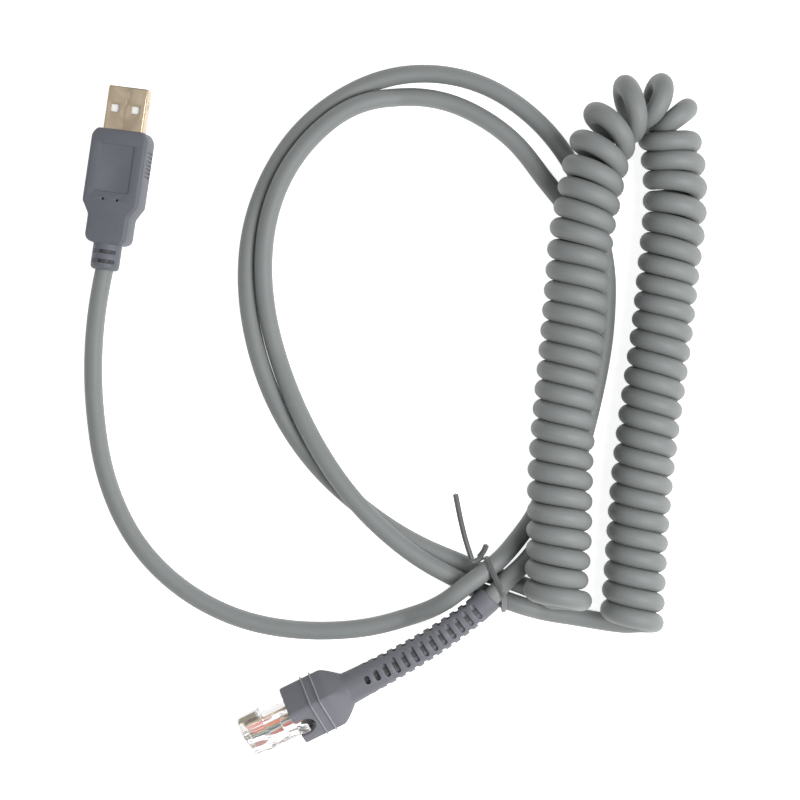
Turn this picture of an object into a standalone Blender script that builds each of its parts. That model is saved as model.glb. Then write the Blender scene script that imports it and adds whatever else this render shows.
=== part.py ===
"""Coiled interface cable for a handheld barcode scanner, lying tied up on a table.

A USB-A plug and a ten-way modular plug in a slotted boot stand at the ends of one round cord. The
cord is laid in a double loop, its coiled middle is folded once into a U, and a twist tie binds the
strands where they cross. The table is z = 0. The coil lies at +X with its bend towards +Y, the USB
plug lies at -X and points towards +Y, and the modular plug lies at -Y. Sizes are in millimetres
and are scaled to metres as the objects are made.
"""

import math
from collections import namedtuple

import bmesh
import bpy
import numpy as np
from mathutils import Matrix, Vector

MM = 0.001

# ---- cord -------------------------------------------------------------------------------------
CORD_D = 5.3  # jacket outside diameter
CORD_R = CORD_D / 2
CLEAR = 0.2  # least gap between two strands, and round a cord in its bore
TABLE_GAP = 0.02  # lowest strand above the table
LOWEST = CORD_R + TABLE_GAP  # centreline of a strand on the table
END_GAP = 0.4  # gap between two pieces of one cord
FLEX_GAP = 0.2  # each domed end stands this far from its flex axis
CORD_SEGMENT = 6.5  # segment length that a route is modelled with
DOME = np.array([0.0, 0.35, 0.95, 1.7, CORD_R])  # rings of a domed end, from its tip
SQUARE_END_STEP = 0.6  # last segment before a square end

ORIGIN = (0, 0, 0)
CENTRE = (0.718, -1.218, -0.02)  # moves everything, so its box is centred and stands on z = 0

# ---- coil -------------------------------------------------------------------------------------
# turn number, axis x, y, z, centreline radius and lean in degrees; a whole turn number is on the
# outer side of the U
COIL_AXIS = (
    (-1.75, 46.2, -54.1, 17.0, 9.90, 0),
    (-1.5, 46.25, -53.4, 17.0, 7.00, 0),
    (-1.25, 46.2, -51.5, 17.0, 6.65, 0),
    (-1, 46.05, -49.4, 16.9, 6.60, 0),
    (0, 46.2, -44.0, 16.9, 6.55, 0),
    (5, 47.2, -16.2, 16.4, 6.55, 0),
    (10, 49.6, 11.9, 16.0, 6.55, 0),
    (15, 52.3, 40.5, 15.8, 6.55, 0),
    (17, 53.5, 52.2, 15.8, 6.55, 0),
    (19, 55.8, 63.9, 15.6, 6.55, 2),
    (21, 59.4, 75.9, 14.8, 6.55, 11),
    (22, 63.5, 83.1, 14.1, 6.50, 16),
    (23, 68.9, 87.6, 13.3, 6.25, 18),
    (24, 74.2, 87.3, 12.4, 5.85, 17),
    (25, 77.7, 85.6, 11.6, 5.95, 8),
    (26, 79.2, 79.1, 10.7, 6.25, -4),
    (28, 80.7, 64.6, 9.5, 6.35, -6),
    (31, 79.35, 45.8, 9.4, 6.35, 0),
    (35, 76.9, 23.75, 9.4, 6.35, 0),
    (38, 74.6, 7.2, 9.4, 6.35, 0),
    (43, 71.1, -20.5, 9.4, 6.35, 0),
    (48, 69.0, -48.4, 9.4, 6.35, 0),
    (50.25, 68.1, -61.4, 9.4, 6.50, 0),
)
TURN_STEPS = 24  # samples per turn of the solved centreline
MODEL_EVERY = 2  # of those samples, every second one is modelled
LEFT_TOP, RIGHT_TOP = 20.0, 27.0  # the turns between these ride on the bend
LEFT_PIECES, RIGHT_PIECES = 4, 4
COIL_END_STEP = 0.5  # first and last segment of a coil piece
COIL_END_CLEAR = 0.9  # no other sample lies nearer to a piece's end

RELAXED = ((-1.75, 8.0), (17.0, 31.0))  # turns that are moved apart where they are crowded
RELAX_DISTANCE = CORD_D + 0.16  # least distance between relaxed centrelines
RELAX_STEPS, SMOOTHED_STEPS = 600, 540  # all steps, and the first ones that also smooth
RELAX_RATE, RELAX_SMOOTHING = 0.4, 0.22  # share of the push and of the smoothing in a step

# ---- cord routes in plan, as x, y ----------------------------------------------------------------
USB_DIRECTION = (0.1444, 0.9895)
USB_LEAD = (
    (-84.4, 41.6), (-86.1, 32.9), (-87.6, 21.4), (-88.0, 9.7), (-87.2, -1.9), (-85.4, -13.6),
    (-81.8, -25.3), (-75.8, -36.8), (-65.6, -48.2), (-54.6, -55.7), (-42.6, -60.6), (-33.6, -62.5),
    (-24.8, -63.3),
)
USB_END = USB_LEAD[0]  # rear end of the plug's collar
UPPER_HINGE, LOWER_HINGE = USB_LEAD[6], USB_LEAD[-1]
USB_JOIN = (
    (-16.1, -63.2), (-7.3, -62.2), (1.5, -60.0), (13.4, -54.8), (19.8, -50.0), (25.3, -45.9),
    (30.2, -42.1), (35.2, -36.9), (40.0, -30.6), (43.0, -24.3), (46.0, -16.5), (48.5, -7.8),
    (50.8, 1.0), (53.3, 9.7), (54.8, 18.5), (55.6, 27.2),
)
INNER_LOOP = (
    (55.8, 36.0), (55.0, 44.1), (53.3, 52.0), (50.7, 58.7), (47.2, 63.7), (43.7, 68.0),
    (36.4, 77.4), (24.8, 86.5), (16.1, 90.4), (7.3, 92.1), (-3.5, 91.5), (-12.5, 88.7),
    (-21.4, 82.6), (-32.4, 68.3), (-37.4, 52.8), (-38.2, 38.8), (-35.5, 21.3), (-29.4, 3.8),
    (-18.8, -15.7), (-10.5, -26.5), (-0.6, -36.1), (11.3, -44.5), (15.4, -46.7), (20.6, -49.6),
    (25.8, -52.1), (31.9, -54.2), (42.2, -57.5), (51.3, -59.1), (59.7, -60.5),
)
BOOT_AXIS = (
    (-29.6, -87.3), (-17.3, -81.2), (-7.1, -75.9), (1.7, -71.1), (10.1, -66.1), (18.35, -60.45),
    (23.1, -56.7), (27.3, -53.0),
)
MODULAR_JOIN = (
    (30.6, -49.6), (33.5, -46.7), (36.4, -44.2), (40.0, -40.5), (44.2, -35.1), (48.0, -28.2),
    (51.0, -20.9), (53.6, -12.1), (55.9, -3.4), (58.0, 5.4), (59.7, 13.8), (61.0, 22.6),
    (61.7, 32.5),
)
OUTER_LOOP = (
    (61.7, 38.9), (60.4, 48.5), (57.7, 58.4), (53.9, 67.7), (49.8, 75.0), (46.1, 80.1),
    (37.1, 88.9), (25.0, 95.9), (11.6, 98.9), (1.5, 98.5), (-4.2, 97.2), (-14.3, 92.8),
    (-23.9, 85.9), (-30.1, 79.3), (-35.8, 70.5), (-42.0, 53.4), (-43.3, 38.9), (-41.1, 21.4),
    (-34.7, 2.9), (-21.1, -17.1), (-10.6, -26.7), (0.8, -34.8), (13.4, -41.2), (17.8, -43.0),
    (23.2, -45.3), (27.5, -46.8), (31.9, -48.1), (36.2, -49.6), (41.0, -51.6),
)
ROUTE_STEP = 1.0  # sample spacing of a solved route
SLOPE = 0.6  # steepest rise of a strand that climbs over another
SMOOTH = 5.0  # length over which a climb is eased
OUTER_RISE, INNER_RISE = 17.0, 8.0  # lengths over which the loops' tails rise to the coil
USB_RISE = 34.0  # length over which the lead rises to the USB plug
INNER_TAIL, OUTER_TAIL = 90, 80  # samples of each loop that the leads climb over
JOIN_STEP = 0.9  # last step of a loop, along the coil's own direction
BOOT_DROP = 4  # samples over which the cord is free to sink behind the boot
FLEX_BELOW_COLLAR = 3.5  # a plug's flex axis, behind the end of its strain relief

# ---- USB plug, in its own frame: +Y towards the tip, 0 at the collar's rear end ------------------
USB_ROLL = math.radians(10.0)
USB_AXIS_Z = 5.75
COLLAR_END, SHOULDER, MAIN, FACE, TIP = 7.5, 15.8, 19.1, 40.6, 53.3
BODY_W, BODY_H = 17.0, 8.9
NECK_W, NECK_H = 12.6, 8.9
COLLAR_R = 4.2
# y, half width, half height, corner radius
USB_STATIONS = (
    (0.0, 3.5, 3.5, 3.5),
    (0.7, COLLAR_R - 0.1, COLLAR_R - 0.1, COLLAR_R - 0.1),
    (COLLAR_END, COLLAR_R, COLLAR_R, COLLAR_R),
    (COLLAR_END + 0.05, 4.5, 4.25, 2.2),
    (8.3, 5.8, 4.35, 1.9),
    (9.5, NECK_W / 2, NECK_H / 2, 1.7),
    (SHOULDER, NECK_W / 2, NECK_H / 2, 1.7),
    (MAIN, BODY_W / 2, BODY_H / 2, 1.5),
    (FACE - 2.2, BODY_W / 2, BODY_H / 2, 1.5),
    (FACE - 0.5, BODY_W / 2 - 0.85, 4.35, 1.4),
    (FACE, BODY_W / 2 - 1.2, 4.05, 1.2),
)
SHELL_W, SHELL_H, SHELL_WALL, SHELL_REAR = 12.0, 4.5, 0.3, 29.5
SHELL_TAPER, SHELL_TAPER_L = 0.12, 0.3  # narrowing at the tip
POCKET_CLEAR, POCKET_Y, POCKET_L = 0.3, 33.0, 18.0  # pocket round the shell
CHANNEL_R, CHANNEL_FROM, CHANNEL_TO = 2.2, 13.0, 25.0  # wire channel from bore to pocket
WINDOW_W, WINDOW_L, WINDOW_X, WINDOW_Y = 2.5, 2.2, 3.1, 46.8
PANEL_W, PANEL_L, PANEL_DEEP, PANEL_FROM_FACE = 10.3, 13.9, 0.3, 4.4
PIN_HOLE_R, PIN_HOLE_X, PIN_HOLE_Y = 0.4, 2.15, 20.2
GRIPS, GRIP_PITCH, GRIP_FIRST, GRIP_CUT = 6, 1.15, 28.2, 0.3
GRIP_L, GRIP_H = 0.5, 5.2
RELIEF_SLOT_Y, RELIEF_SLOT_Z = (2.4, 5.2), 3.8
RELIEF_SLOT_SIZE = (6.9, 1.1, 3.0)
CARRIER_AT, CARRIER_SIZE = (0, 41.4, 0.875), (11.0, 22.6, 1.55)
USB_CONTACT_X = (-3.5, -1.0, 1.0, 3.5)
USB_CONTACT_W, USB_CONTACT_T, USB_CONTACT_REAR = 1.0, 0.22, 31
OUTER_CONTACT_END, INNER_CONTACT_END = 52.0, 51.0
USB_WIRE_R = 0.5

# ---- modular plug, in its own frame: +Y towards the front, 0 at the boot's rim, latch on +Z --------
BOOT_ROLL = math.radians(45.0)
BOOT_Z, BOOT_END_Z = 9.6, 11.2  # height of the boot's axis at the rim, and least height at its end
BOOT_W, BOOT_H = 15.0, 11.2
BOOT_BLOCK, BOOT_NECK_END = 13.9, 17.5  # lengths behind the rim
FIN_AT, FIN_T, FIN_PROUD, FIN_EDGE = (6.7, 9.5), 0.4, 0.6, 0.03
RELIEF_R0, RELIEF_R1, RELIEF_RINGS = 4.7, 3.75, 9
SLOT_FIRST, SLOT_PITCH, SLOT_COUNT = 24.5, 3.07, 13
SLOT_L, SLOT_W, SLOT_T, SLOT_OUT = 1.5, 4.8, 2.6, 3.9
NOTCH_W, NOTCH_L = 7.2, 5.6
NOTCH_Y = -0.7  # middle of the notch's straight part
PLUG_W, PLUG_FRONT, PLUG_REAR, PLUG_LOW, PLUG_TOP = 11.7, 14.8, -6.7, -3.9, 3.0
WAYS, WAY_PITCH = 10, 1.02
WIRES, WIRE_D, BUNDLE_PITCH = 8, 0.8, 0.5
LATCH_PIVOT_Y, LATCH_PIVOT_Z = 12.6, 3.9
# y, z of the middle, half thickness, half width
LATCH_STATIONS = (
    (13.9, 3.75, 0.45, 3.1), (LATCH_PIVOT_Y, LATCH_PIVOT_Z, 0.55, 3.1), (9.0, 4.4, 0.55, 3.1),
    (7.6, 4.6, 0.5, 2.4), (2.0, 5.35, 0.45, 1.9), (-2.6, 6.0, 0.45, 1.9), (-3.4, 6.2, 0.35, 1.6),
)
CORD_IN_BOOT = 14.6  # front end of the cord, behind the rim

# ---- twist tie ----------------------------------------------------------------------------------
TIE_R = 0.775
TIE_GAP = 0.3
TIE_FROM, TIE_TO = (25.6, -40.3), (32.3, -54.7)
TIE_PASS_BEYOND, TIE_PASS_SIDE = 6, 1.6  # strands are lifted this far beyond and beside the tie
TIE_BINDS = (-6, 24)  # strands between these lengths from TIE_FROM are bound
TIE_BEND_AT, TIE_BEND, TIE_BEND_POWER = 12.0, (-2.4, 1.0), 1.4  # bends the band's far end sideways
TIE_STEP = 1.3  # sample spacing of the band
TWIST_FROM, TWIST_TO = (24.5, -41.8, 9.9), (22.5, -42.8, 10.2)
TWIST_HALF_W, TWIST_HALF_T, TWIST_ANGLE = 1.15, 0.7, math.pi * 1.25
TWIST_STEPS, TWIST_SIDES = 8, 12
TAILS = {
    "long": ((22.0, -41.8, 11.4), (20.3, -36.5, 12.5), (18.7, -30.2, 15.0), (17.2, -22.9, 18.0)),
    "short": ((24.0, -41.3, 12.2), (25.2, -39.7, 13.6), (26.1, -37.6, 14.9)),
}
TAIL_STEP, TAIL_SIDES = 1.6, 10
CORE_R, CORE_BORE, CORE_PROUD = 0.25, 0.4, 0.35
CORE_BORE_L, CORE_BORE_GAP = 1.2, 0.3  # depth of the bore, and gap between its floor and the core

# ---- finishes -------------------------------------------------------------------------------------
Finish = namedtuple("Finish", "colour rough metal transmission", defaults=(0.5, 0.0, 0.0))
CORD = Finish(colour=(0.250, 0.258, 0.258))
MOULD = Finish(colour=(0.150, 0.157, 0.185), rough=0.6)
TIE = Finish(colour=(0.190, 0.190, 0.190))
STEEL = Finish(colour=(0.62, 0.52, 0.38), rough=0.3, metal=1.0)
WHITE = Finish(colour=(0.85, 0.85, 0.83), rough=0.45)
GOLD = Finish(colour=(0.75, 0.52, 0.18), rough=0.25, metal=1.0)
CLEAR_PLASTIC = Finish(colour=(0.80, 0.82, 0.82), rough=0.1, transmission=0.9)
CORE = Finish(colour=(0.45, 0.45, 0.46), metal=1.0)
MODULAR_WIRE_COLOURS = (
    (0.35, 0.02, 0.02), (0.80, 0.80, 0.78), (0.75, 0.20, 0.16), (0.78, 0.66, 0.42),
    (0.02, 0.02, 0.02), (0.35, 0.55, 0.30), (0.80, 0.16, 0.04), (0.80, 0.62, 0.08),
)
USB_WIRE_COLOURS = ((0.6, 0.03, 0.03), (0.8, 0.8, 0.78), (0.08, 0.4, 0.1), (0.02, 0.02, 0.02))


# ---- scene ----------------------------------------------------------------------------------------
def fresh_scene():
    """Empties the scene and makes one collection for parts and one for cutters."""
    for obj in list(bpy.data.objects):
        bpy.data.objects.remove(obj, do_unlink=True)
    for coll in list(bpy.data.collections):
        bpy.data.collections.remove(coll)
    parts = bpy.data.collections.new("coiled_scanner_cable")
    cutters = bpy.data.collections.new("cutters")
    for coll in (parts, cutters):
        bpy.context.scene.collection.children.link(coll)
    cutters.hide_render = True
    return parts, cutters


PARTS, CUTTERS = fresh_scene()


def material(name, finish):
    mat = bpy.data.materials.new(name)
    mat.use_nodes = True
    shader = mat.node_tree.nodes["Principled BSDF"]
    shader.inputs["Base Color"].default_value = (*finish.colour, 1.0)
    shader.inputs["Roughness"].default_value = finish.rough
    shader.inputs["Metallic"].default_value = finish.metal
    shader.inputs["Transmission Weight"].default_value = finish.transmission
    mat.diffuse_color = (*finish.colour, 1.0)
    return mat


def add_part(name, data, finish, pivot):
    """A part with its own material and its origin at the pivot."""
    data.name = name
    obj = bpy.data.objects.new(name, data)
    PARTS.objects.link(obj)
    obj.location = (Vector(pivot) + Vector(CENTRE)) * MM
    data.materials.append(material(name, finish))
    return obj


def add_mesh(name, data, finish, pivot=ORIGIN, smooth=True):
    """A part from a mesh in world millimetres."""
    data.transform(Matrix.Translation(-Vector(pivot)))
    data.transform(Matrix.Scale(MM, 4))
    data.polygons.foreach_set("use_smooth", [smooth] * len(data.polygons))
    if smooth:
        data.set_sharp_from_angle(angle=math.radians(40))
    return add_part(name, data, finish, pivot)


def cut(obj, name, data):
    """Cuts a part with a mesh in world millimetres, kept as a hidden cutter."""
    data.name = name
    tool = bpy.data.objects.new(name, data)
    CUTTERS.objects.link(tool)
    data.transform(Matrix.Scale(MM, 4) @ Matrix.Translation(CENTRE))
    tool.hide_render = True
    tool.display_type = "WIRE"
    mod = obj.modifiers.new("cut_" + name, "BOOLEAN")
    mod.operation = "DIFFERENCE"
    mod.solver = "EXACT"
    mod.object = tool


def bevel_edges(obj, width):
    mod = obj.modifiers.new("edge", "BEVEL")
    mod.width = width * MM
    mod.segments = 1
    mod.limit_method = "ANGLE"
    mod.angle_limit = math.radians(50)


# ---- curves in space ------------------------------------------------------------------------------
def unit(vector):
    vector = np.asarray(vector, float)
    return vector / np.linalg.norm(vector, axis=-1, keepdims=True)


def spline_at(knots, rows, at):
    """Natural cubic spline through rows of values at the knots, read at the given places."""
    knots, rows, at = (np.asarray(v, float) for v in (knots, rows, at))
    count, gaps = len(knots), np.diff(knots)
    matrix, target = np.eye(count), np.zeros((count, rows.shape[1]))
    for i in range(1, count - 1):
        before, after = gaps[i - 1], gaps[i]
        matrix[i, i - 1 : i + 2] = before, 2 * (before + after), after
        target[i] = 6 * ((rows[i + 1] - rows[i]) / after - (rows[i] - rows[i - 1]) / before)
    second = np.linalg.solve(matrix, target)
    k = np.clip(np.searchsorted(knots, at, side="right") - 1, 0, count - 2)
    late = ((at - knots[k]) / gaps[k])[:, None]
    early = 1 - late
    bend = (early**3 - early) * second[k] + (late**3 - late) * second[k + 1]
    return early * rows[k] + late * rows[k + 1] + bend * (gaps[k] ** 2)[:, None] / 6


def lengths(points):
    """Length along a polyline at each of its points."""
    steps = np.linalg.norm(np.diff(points, axis=0), axis=1)
    return np.concatenate([[0.0], np.cumsum(steps)])


def at_length(points, wanted):
    """Points at the given lengths along a polyline."""
    along = lengths(points)
    columns = [np.interp(wanted, along, points[:, i]) for i in range(points.shape[1])]
    return np.stack(columns, axis=1)


def point_at(points, wanted):
    return at_length(points, [wanted])[0]


def resample(points, step):
    total = lengths(points)[-1]
    return at_length(points, np.linspace(0, total, max(2, round(total / step) + 1)))


def smooth_route(control, step):
    """Evenly spaced points on a spline through the control points."""
    control = np.asarray(control, float)
    knots = lengths(control)
    fine = np.linspace(0, knots[-1], int(knots[-1] / (step / 4)) + 2)
    return resample(spline_at(knots, control, fine), step)


def nearest_index(points, place):
    """Index of the point that lies nearest to a place in plan."""
    return int(np.argmin(np.linalg.norm(points[:, :2] - np.asarray(place[:2]), axis=1)))


def nearest_length(points, place):
    return lengths(points)[nearest_index(points, place)]


# ---- coil centreline --------------------------------------------------------------------------------
def coil_centreline():
    """Turn numbers and centreline points of the whole coil, left-handed along its axis."""
    rows = np.array(COIL_AXIS)
    knots, first, last = rows[:, 0], rows[0, 0], rows[-1, 0]
    turns = np.arange(round(first * TURN_STEPS), round(last * TURN_STEPS) + 1) / TURN_STEPS
    values = spline_at(knots, rows[:, 1:], turns)
    ahead = spline_at(knots, rows[:, 1:], np.clip(turns + 0.5, first, last))
    behind = spline_at(knots, rows[:, 1:], np.clip(turns - 0.5, first, last))
    tangent = unit(ahead[:, :3] - behind[:, :3])
    side = unit(np.cross(tangent, (0, 0, 1)))
    lean = np.radians(values[:, 4:5])
    up = np.cos(lean) * np.cross(side, tangent) + np.sin(lean) * tangent
    angle = (math.pi + 2 * math.pi * turns)[:, None]
    points = values[:, :3] + values[:, 3:4] * (np.cos(angle) * side + np.sin(angle) * up)
    for first_turn, last_turn in RELAXED:
        points = relax(turns, points, first_turn, last_turn)
    return turns, points


def relax(turns, points, first, last):
    """Moves crowded turns apart, and fades the move out over a turn at both ends."""
    chosen = np.where((turns >= first) & (turns <= last))[0]
    start = points[chosen]
    index = np.arange(len(chosen))
    fade = np.clip(np.minimum(index, index[::-1]) / TURN_STEPS, 0, 1)[:, None]
    apart = np.abs(index[:, None] - index[None, :]) > TURN_STEPS // 3
    shift = np.zeros_like(start)
    for step in range(RELAX_STEPS):
        here = start + shift
        gap = here[:, None] - here[None]
        size = np.linalg.norm(gap, axis=2)
        push = np.where(apart & (size < RELAX_DISTANCE), RELAX_DISTANCE - size, 0.0)
        move = (gap / np.maximum(size, 1e-6)[:, :, None] * push[:, :, None]).sum(axis=1)
        count = np.maximum((push > 0).sum(axis=1), 1)[:, None]
        shift += RELAX_RATE * move / count * fade
        if step < SMOOTHED_STEPS:
            curve = shift[:-2] + shift[2:] - 2 * shift[1:-1]
            shift[1:-1] = shift[1:-1] + RELAX_SMOOTHING * curve
        shift[:, 2] = np.maximum(shift[:, 2], LOWEST - start[:, 2])
    moved = points.copy()
    moved[chosen] = start + shift
    return moved


# ---- cord routes ------------------------------------------------------------------------------------
def eased(need, step):
    """A smooth height line over the needs: slope-limited, widened, then averaged."""
    along = np.arange(len(need)) * step
    line = (need[None, :] - SLOPE * np.abs(along[:, None] - along[None, :])).max(axis=1)
    half = max(1, round(SMOOTH / 2 / step))
    padded = np.pad(line, half, mode="edge")
    high = np.array([padded[i : i + 2 * half + 1].max() for i in range(len(line))])
    weights = np.hanning(2 * half + 3)[1:-1]
    return np.convolve(np.pad(high, half, mode="edge"), weights / weights.sum(), mode="valid")


def needs_over(plan, others, radius=CORD_R):
    """Heights that keep plan points clear above other strands' points."""
    floor = np.full(len(plan), LOWEST)
    least = np.full(len(plan), radius)[:, None] + CORD_R + CLEAR
    for other in others:
        gap = np.linalg.norm(plan[:, None, :2] - other[None, :, :2], axis=2)
        rise = np.sqrt(np.maximum(least**2 - gap**2, 0))
        over = np.where(gap < least, other[None, :, 2] + rise, 0)
        floor = np.maximum(floor, over.max(axis=1))
    return floor


def tie_plane():
    """Start, direction and normal in plan of the tie's upright plane."""
    start = np.array(TIE_FROM)
    along = unit(np.array(TIE_TO) - start)
    return start, along, np.array([along[1], -along[0]])


def tie_floor(plan):
    """Height that lets the tie pass under a strand."""
    start, along, normal = tie_plane()
    offset = plan[:, :2] - start
    across, reach = np.abs(offset @ normal), offset @ along
    end = np.linalg.norm(np.array(TIE_TO) - start) + TIE_PASS_BEYOND
    inside = (reach > -TIE_PASS_BEYOND) & (reach < end)
    lift = 2 * TIE_R + CORD_R + TIE_GAP
    return np.where(inside & (across < TIE_R + TIE_PASS_SIDE), lift, 0)


def ease_to(heights, target, span, step, at_end=True):
    """Blends a height line into a given height at one end."""
    along = np.arange(len(heights)) * step
    along = along[-1] - along if at_end else along
    weight = np.clip(1 - along / span, 0, 1)
    weight = weight * weight * (3 - 2 * weight)
    return heights * (1 - weight) + target * weight


def route_into(control, coil):
    """A plan route that ends on the coil's first point, along the coil's own direction."""
    line = smooth_route(list(control) + [tuple(coil[i][:2]) for i in (0, 3, 5)], ROUTE_STEP / 4)
    return resample(np.vstack([line[: nearest_index(line, coil[0])], coil[:1, :2]]), ROUTE_STEP)


def loop_into(plan, others, coil, span, step):
    """A loop laid over other strands, whose tail rises to the coil's first point."""
    end = coil[0]
    heights = eased(np.maximum(needs_over(plan, others), tie_floor(plan)), step)
    loop = np.column_stack([plan, ease_to(heights, end[2], span, step)])
    return np.vstack([loop[:-2], end + JOIN_STEP * unit(end - coil[1]), end])


def usb_lead(plan, under, step):
    """The lead from the USB plug, laid over the loops' tails."""
    heights = eased(needs_over(plan, under), step)
    return np.column_stack([plan, ease_to(heights, USB_AXIS_Z, USB_RISE, step, at_end=False)])


def modular_lead(plan, under, step):
    """The lead from the modular plug: the boot rises evenly, then the cord sinks."""
    index = np.arange(len(plan))  # samples are about 1 mm apart, so it also serves as a length
    boot_end = nearest_index(plan, BOOT_AXIS[-1])
    in_boot = index <= boot_end
    heights = eased(needs_over(plan, under, np.where(in_boot, RELIEF_R1 + 0.1, CORD_R)), step)
    end_z = max(heights[boot_end], BOOT_END_Z)
    ramp = np.clip((index - BOOT_NECK_END) / (boot_end - BOOT_NECK_END), 0, 1)
    boot_z = BOOT_Z + (end_z - BOOT_Z) * ramp
    past = np.clip((index - boot_end) / BOOT_DROP, 0, 1)
    heights = np.where(in_boot, boot_z, np.maximum(heights, end_z * (1 - past)))
    return np.column_stack([plan, heights])


def cord_routes(coil):
    """Centrelines of the USB and modular cords, from each plug to the coil."""
    usb_plan = route_into(USB_LEAD + USB_JOIN + INNER_LOOP, coil[::-1])
    modular_plan = route_into(BOOT_AXIS + MODULAR_JOIN + OUTER_LOOP, coil)
    usb_step, modular_step = lengths(usb_plan)[1], lengths(modular_plan)[1]
    usb_split = nearest_index(usb_plan, INNER_LOOP[0])
    modular_split = nearest_index(modular_plan, OUTER_LOOP[0])

    # Laid from the bottom up: outer loop, inner loop, then both leads.
    outer = loop_into(modular_plan[modular_split:], [], coil, OUTER_RISE, modular_step)
    level = outer[: -round(OUTER_RISE / modular_step)]
    inner = loop_into(usb_plan[usb_split:], [level], coil[::-1], INNER_RISE, usb_step)
    tails = [inner[-INNER_TAIL:], level[-OUTER_TAIL:]]
    usb = np.vstack([usb_lead(usb_plan[:usb_split], tails, usb_step), inner])
    modular = np.vstack([modular_lead(modular_plan[:modular_split], tails, modular_step), outer])
    return usb, modular


# ---- solids ---------------------------------------------------------------------------------------
def tube(name, points, radius, finish, pivot=ORIGIN, level=1, scale=None, cyclic=False):
    """A round strand: a poly curve with a bevel and filled ends."""
    data = bpy.data.curves.new(name, "CURVE")
    data.dimensions = "3D"
    data.bevel_depth = radius * MM
    data.bevel_resolution = level
    data.use_fill_caps = not cyclic
    data.twist_mode = "MINIMUM"
    line = data.splines.new("POLY")
    line.points.add(len(points) - 1)
    for i, point in enumerate(points):
        line.points[i].co = (*((np.asarray(point) - pivot) * MM), 1.0)
        line.points[i].radius = 1.0 if scale is None else scale[i]
    line.use_cyclic_u = cyclic
    line.use_smooth = True
    return add_part(name, data, finish, pivot)


def strand(name, route, start, end, dome_start=False, dome_end=False, pivot=ORIGIN):
    """A piece of a route between two lengths, with domed ends where it flexes."""
    dome = DOME[:-1]
    swell = list(np.sqrt(np.clip(1 - (1 - dome / CORD_R) ** 2, 0.04, 1)))
    first = start + (CORD_R if dome_start else 0)
    last = end - (CORD_R if dome_end else SQUARE_END_STEP)
    count = max(2, round((last - first) / CORD_SEGMENT) + 1)
    along = list(np.linspace(first, last, count)) + ([] if dome_end else [end])
    scale = [1.0] * len(along)
    if dome_start:
        along, scale = list(start + dome) + along, swell + scale
    if dome_end:
        along, scale = along + list(end - dome[::-1]), scale + swell[::-1]
    tube(name, at_length(route, np.array(along)), CORD_R, CORD, pivot, level=2, scale=scale)


def solid(verts, faces):
    """A mesh with its normals turned outwards."""
    data = bpy.data.meshes.new("solid")
    data.from_pydata([tuple(map(float, v)) for v in verts], [], faces)
    work = bmesh.new()
    work.from_mesh(data)
    bmesh.ops.recalc_face_normals(work, faces=work.faces)
    work.to_mesh(data)
    work.free()
    return data


def loft(rings, closed=False):
    """A solid through rings of equal point counts, capped, or closed back on its first ring."""
    count, n = len(rings), len(rings[0])
    verts = [point for ring in rings for point in ring]
    faces = []
    if not closed:
        faces = [tuple(range(n))[::-1], tuple((count - 1) * n + i for i in range(n))]
    for r in range(count if closed else count - 1):
        here, there = r * n, (r + 1) % count * n
        for i in range(n):
            j = (i + 1) % n
            faces.append((here + i, here + j, there + j, there + i))
    return solid(verts, faces)


def section(half_w, half_h, corner, per_corner=4):
    """A rounded rectangle, or a circle when all three sizes are equal."""
    out = []
    for side_x, side_y, start in ((1, 1, 0), (-1, 1, 90), (-1, -1, 180), (1, -1, 270)):
        for i in range(per_corner):
            angle = math.radians(start + 90 * (i + 0.5) / per_corner)
            x = side_x * (half_w - corner) + corner * math.cos(angle)
            out.append((x, side_y * (half_h - corner) + corner * math.sin(angle)))
    return out


class Frame:
    """A local frame in world millimetres."""

    def __init__(self, origin, x, y, z):
        self.origin, self.x, self.y, self.z = (np.asarray(v, float) for v in (origin, x, y, z))

    def __call__(self, x, y, z):
        return self.origin + x * self.x + y * self.y + z * self.z

    def ring(self, y, shape):
        return [self(x, y, z) for x, z in shape]


def framed_blocks(items):
    """Separate blocks (frame, centre, size) in one mesh."""
    verts, faces = [], []
    quads = ((3, 2, 1, 0), (4, 5, 6, 7), (0, 1, 5, 4), (1, 2, 6, 5), (2, 3, 7, 6), (3, 0, 4, 7))
    for frame, (x, y, z), (width, length, height) in items:
        base = len(verts)
        for dz in (-0.5, 0.5):
            for dx, dy in ((-0.5, -0.5), (0.5, -0.5), (0.5, 0.5), (-0.5, 0.5)):
                verts.append(frame(x + dx * width, y + dy * length, z + dz * height))
        faces += [tuple(base + i for i in quad) for quad in quads]
    return solid(verts, faces)


def blocks(frame, items):
    """Separate blocks (centre, size) of one frame in one mesh."""
    return framed_blocks([(frame, centre, size) for centre, size in items])


def block(frame, centre, size):
    return blocks(frame, [(centre, size)])


def oval(centre, across, up, sides, offset=0.5):
    """A ring of points; the offset is in sides."""
    angles = [2 * math.pi * (i + offset) / sides for i in range(sides)]
    return [centre + math.cos(a) * across + math.sin(a) * up for a in angles]


def rod(start, end, radius, sides=16):
    start, end = np.asarray(start, float), np.asarray(end, float)
    axis = unit(end - start)
    across = unit(np.cross(axis, (0.3, 0.5, 0.81)))  # any direction that is not the axis
    up = np.cross(axis, across)
    return loft([oval(c, radius * across, radius * up, sides) for c in (start, end)])


def tube_rings(points, radius, sides):
    """Rings of points round a path."""
    points = np.asarray(points, float)
    tangent = unit(np.gradient(points, axis=0))
    side = unit(np.cross(tangent, (0, 0, 1)))
    up = np.cross(side, tangent)
    return [oval(p, radius * s, radius * u, sides) for p, s, u in zip(points, side, up)]


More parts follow.
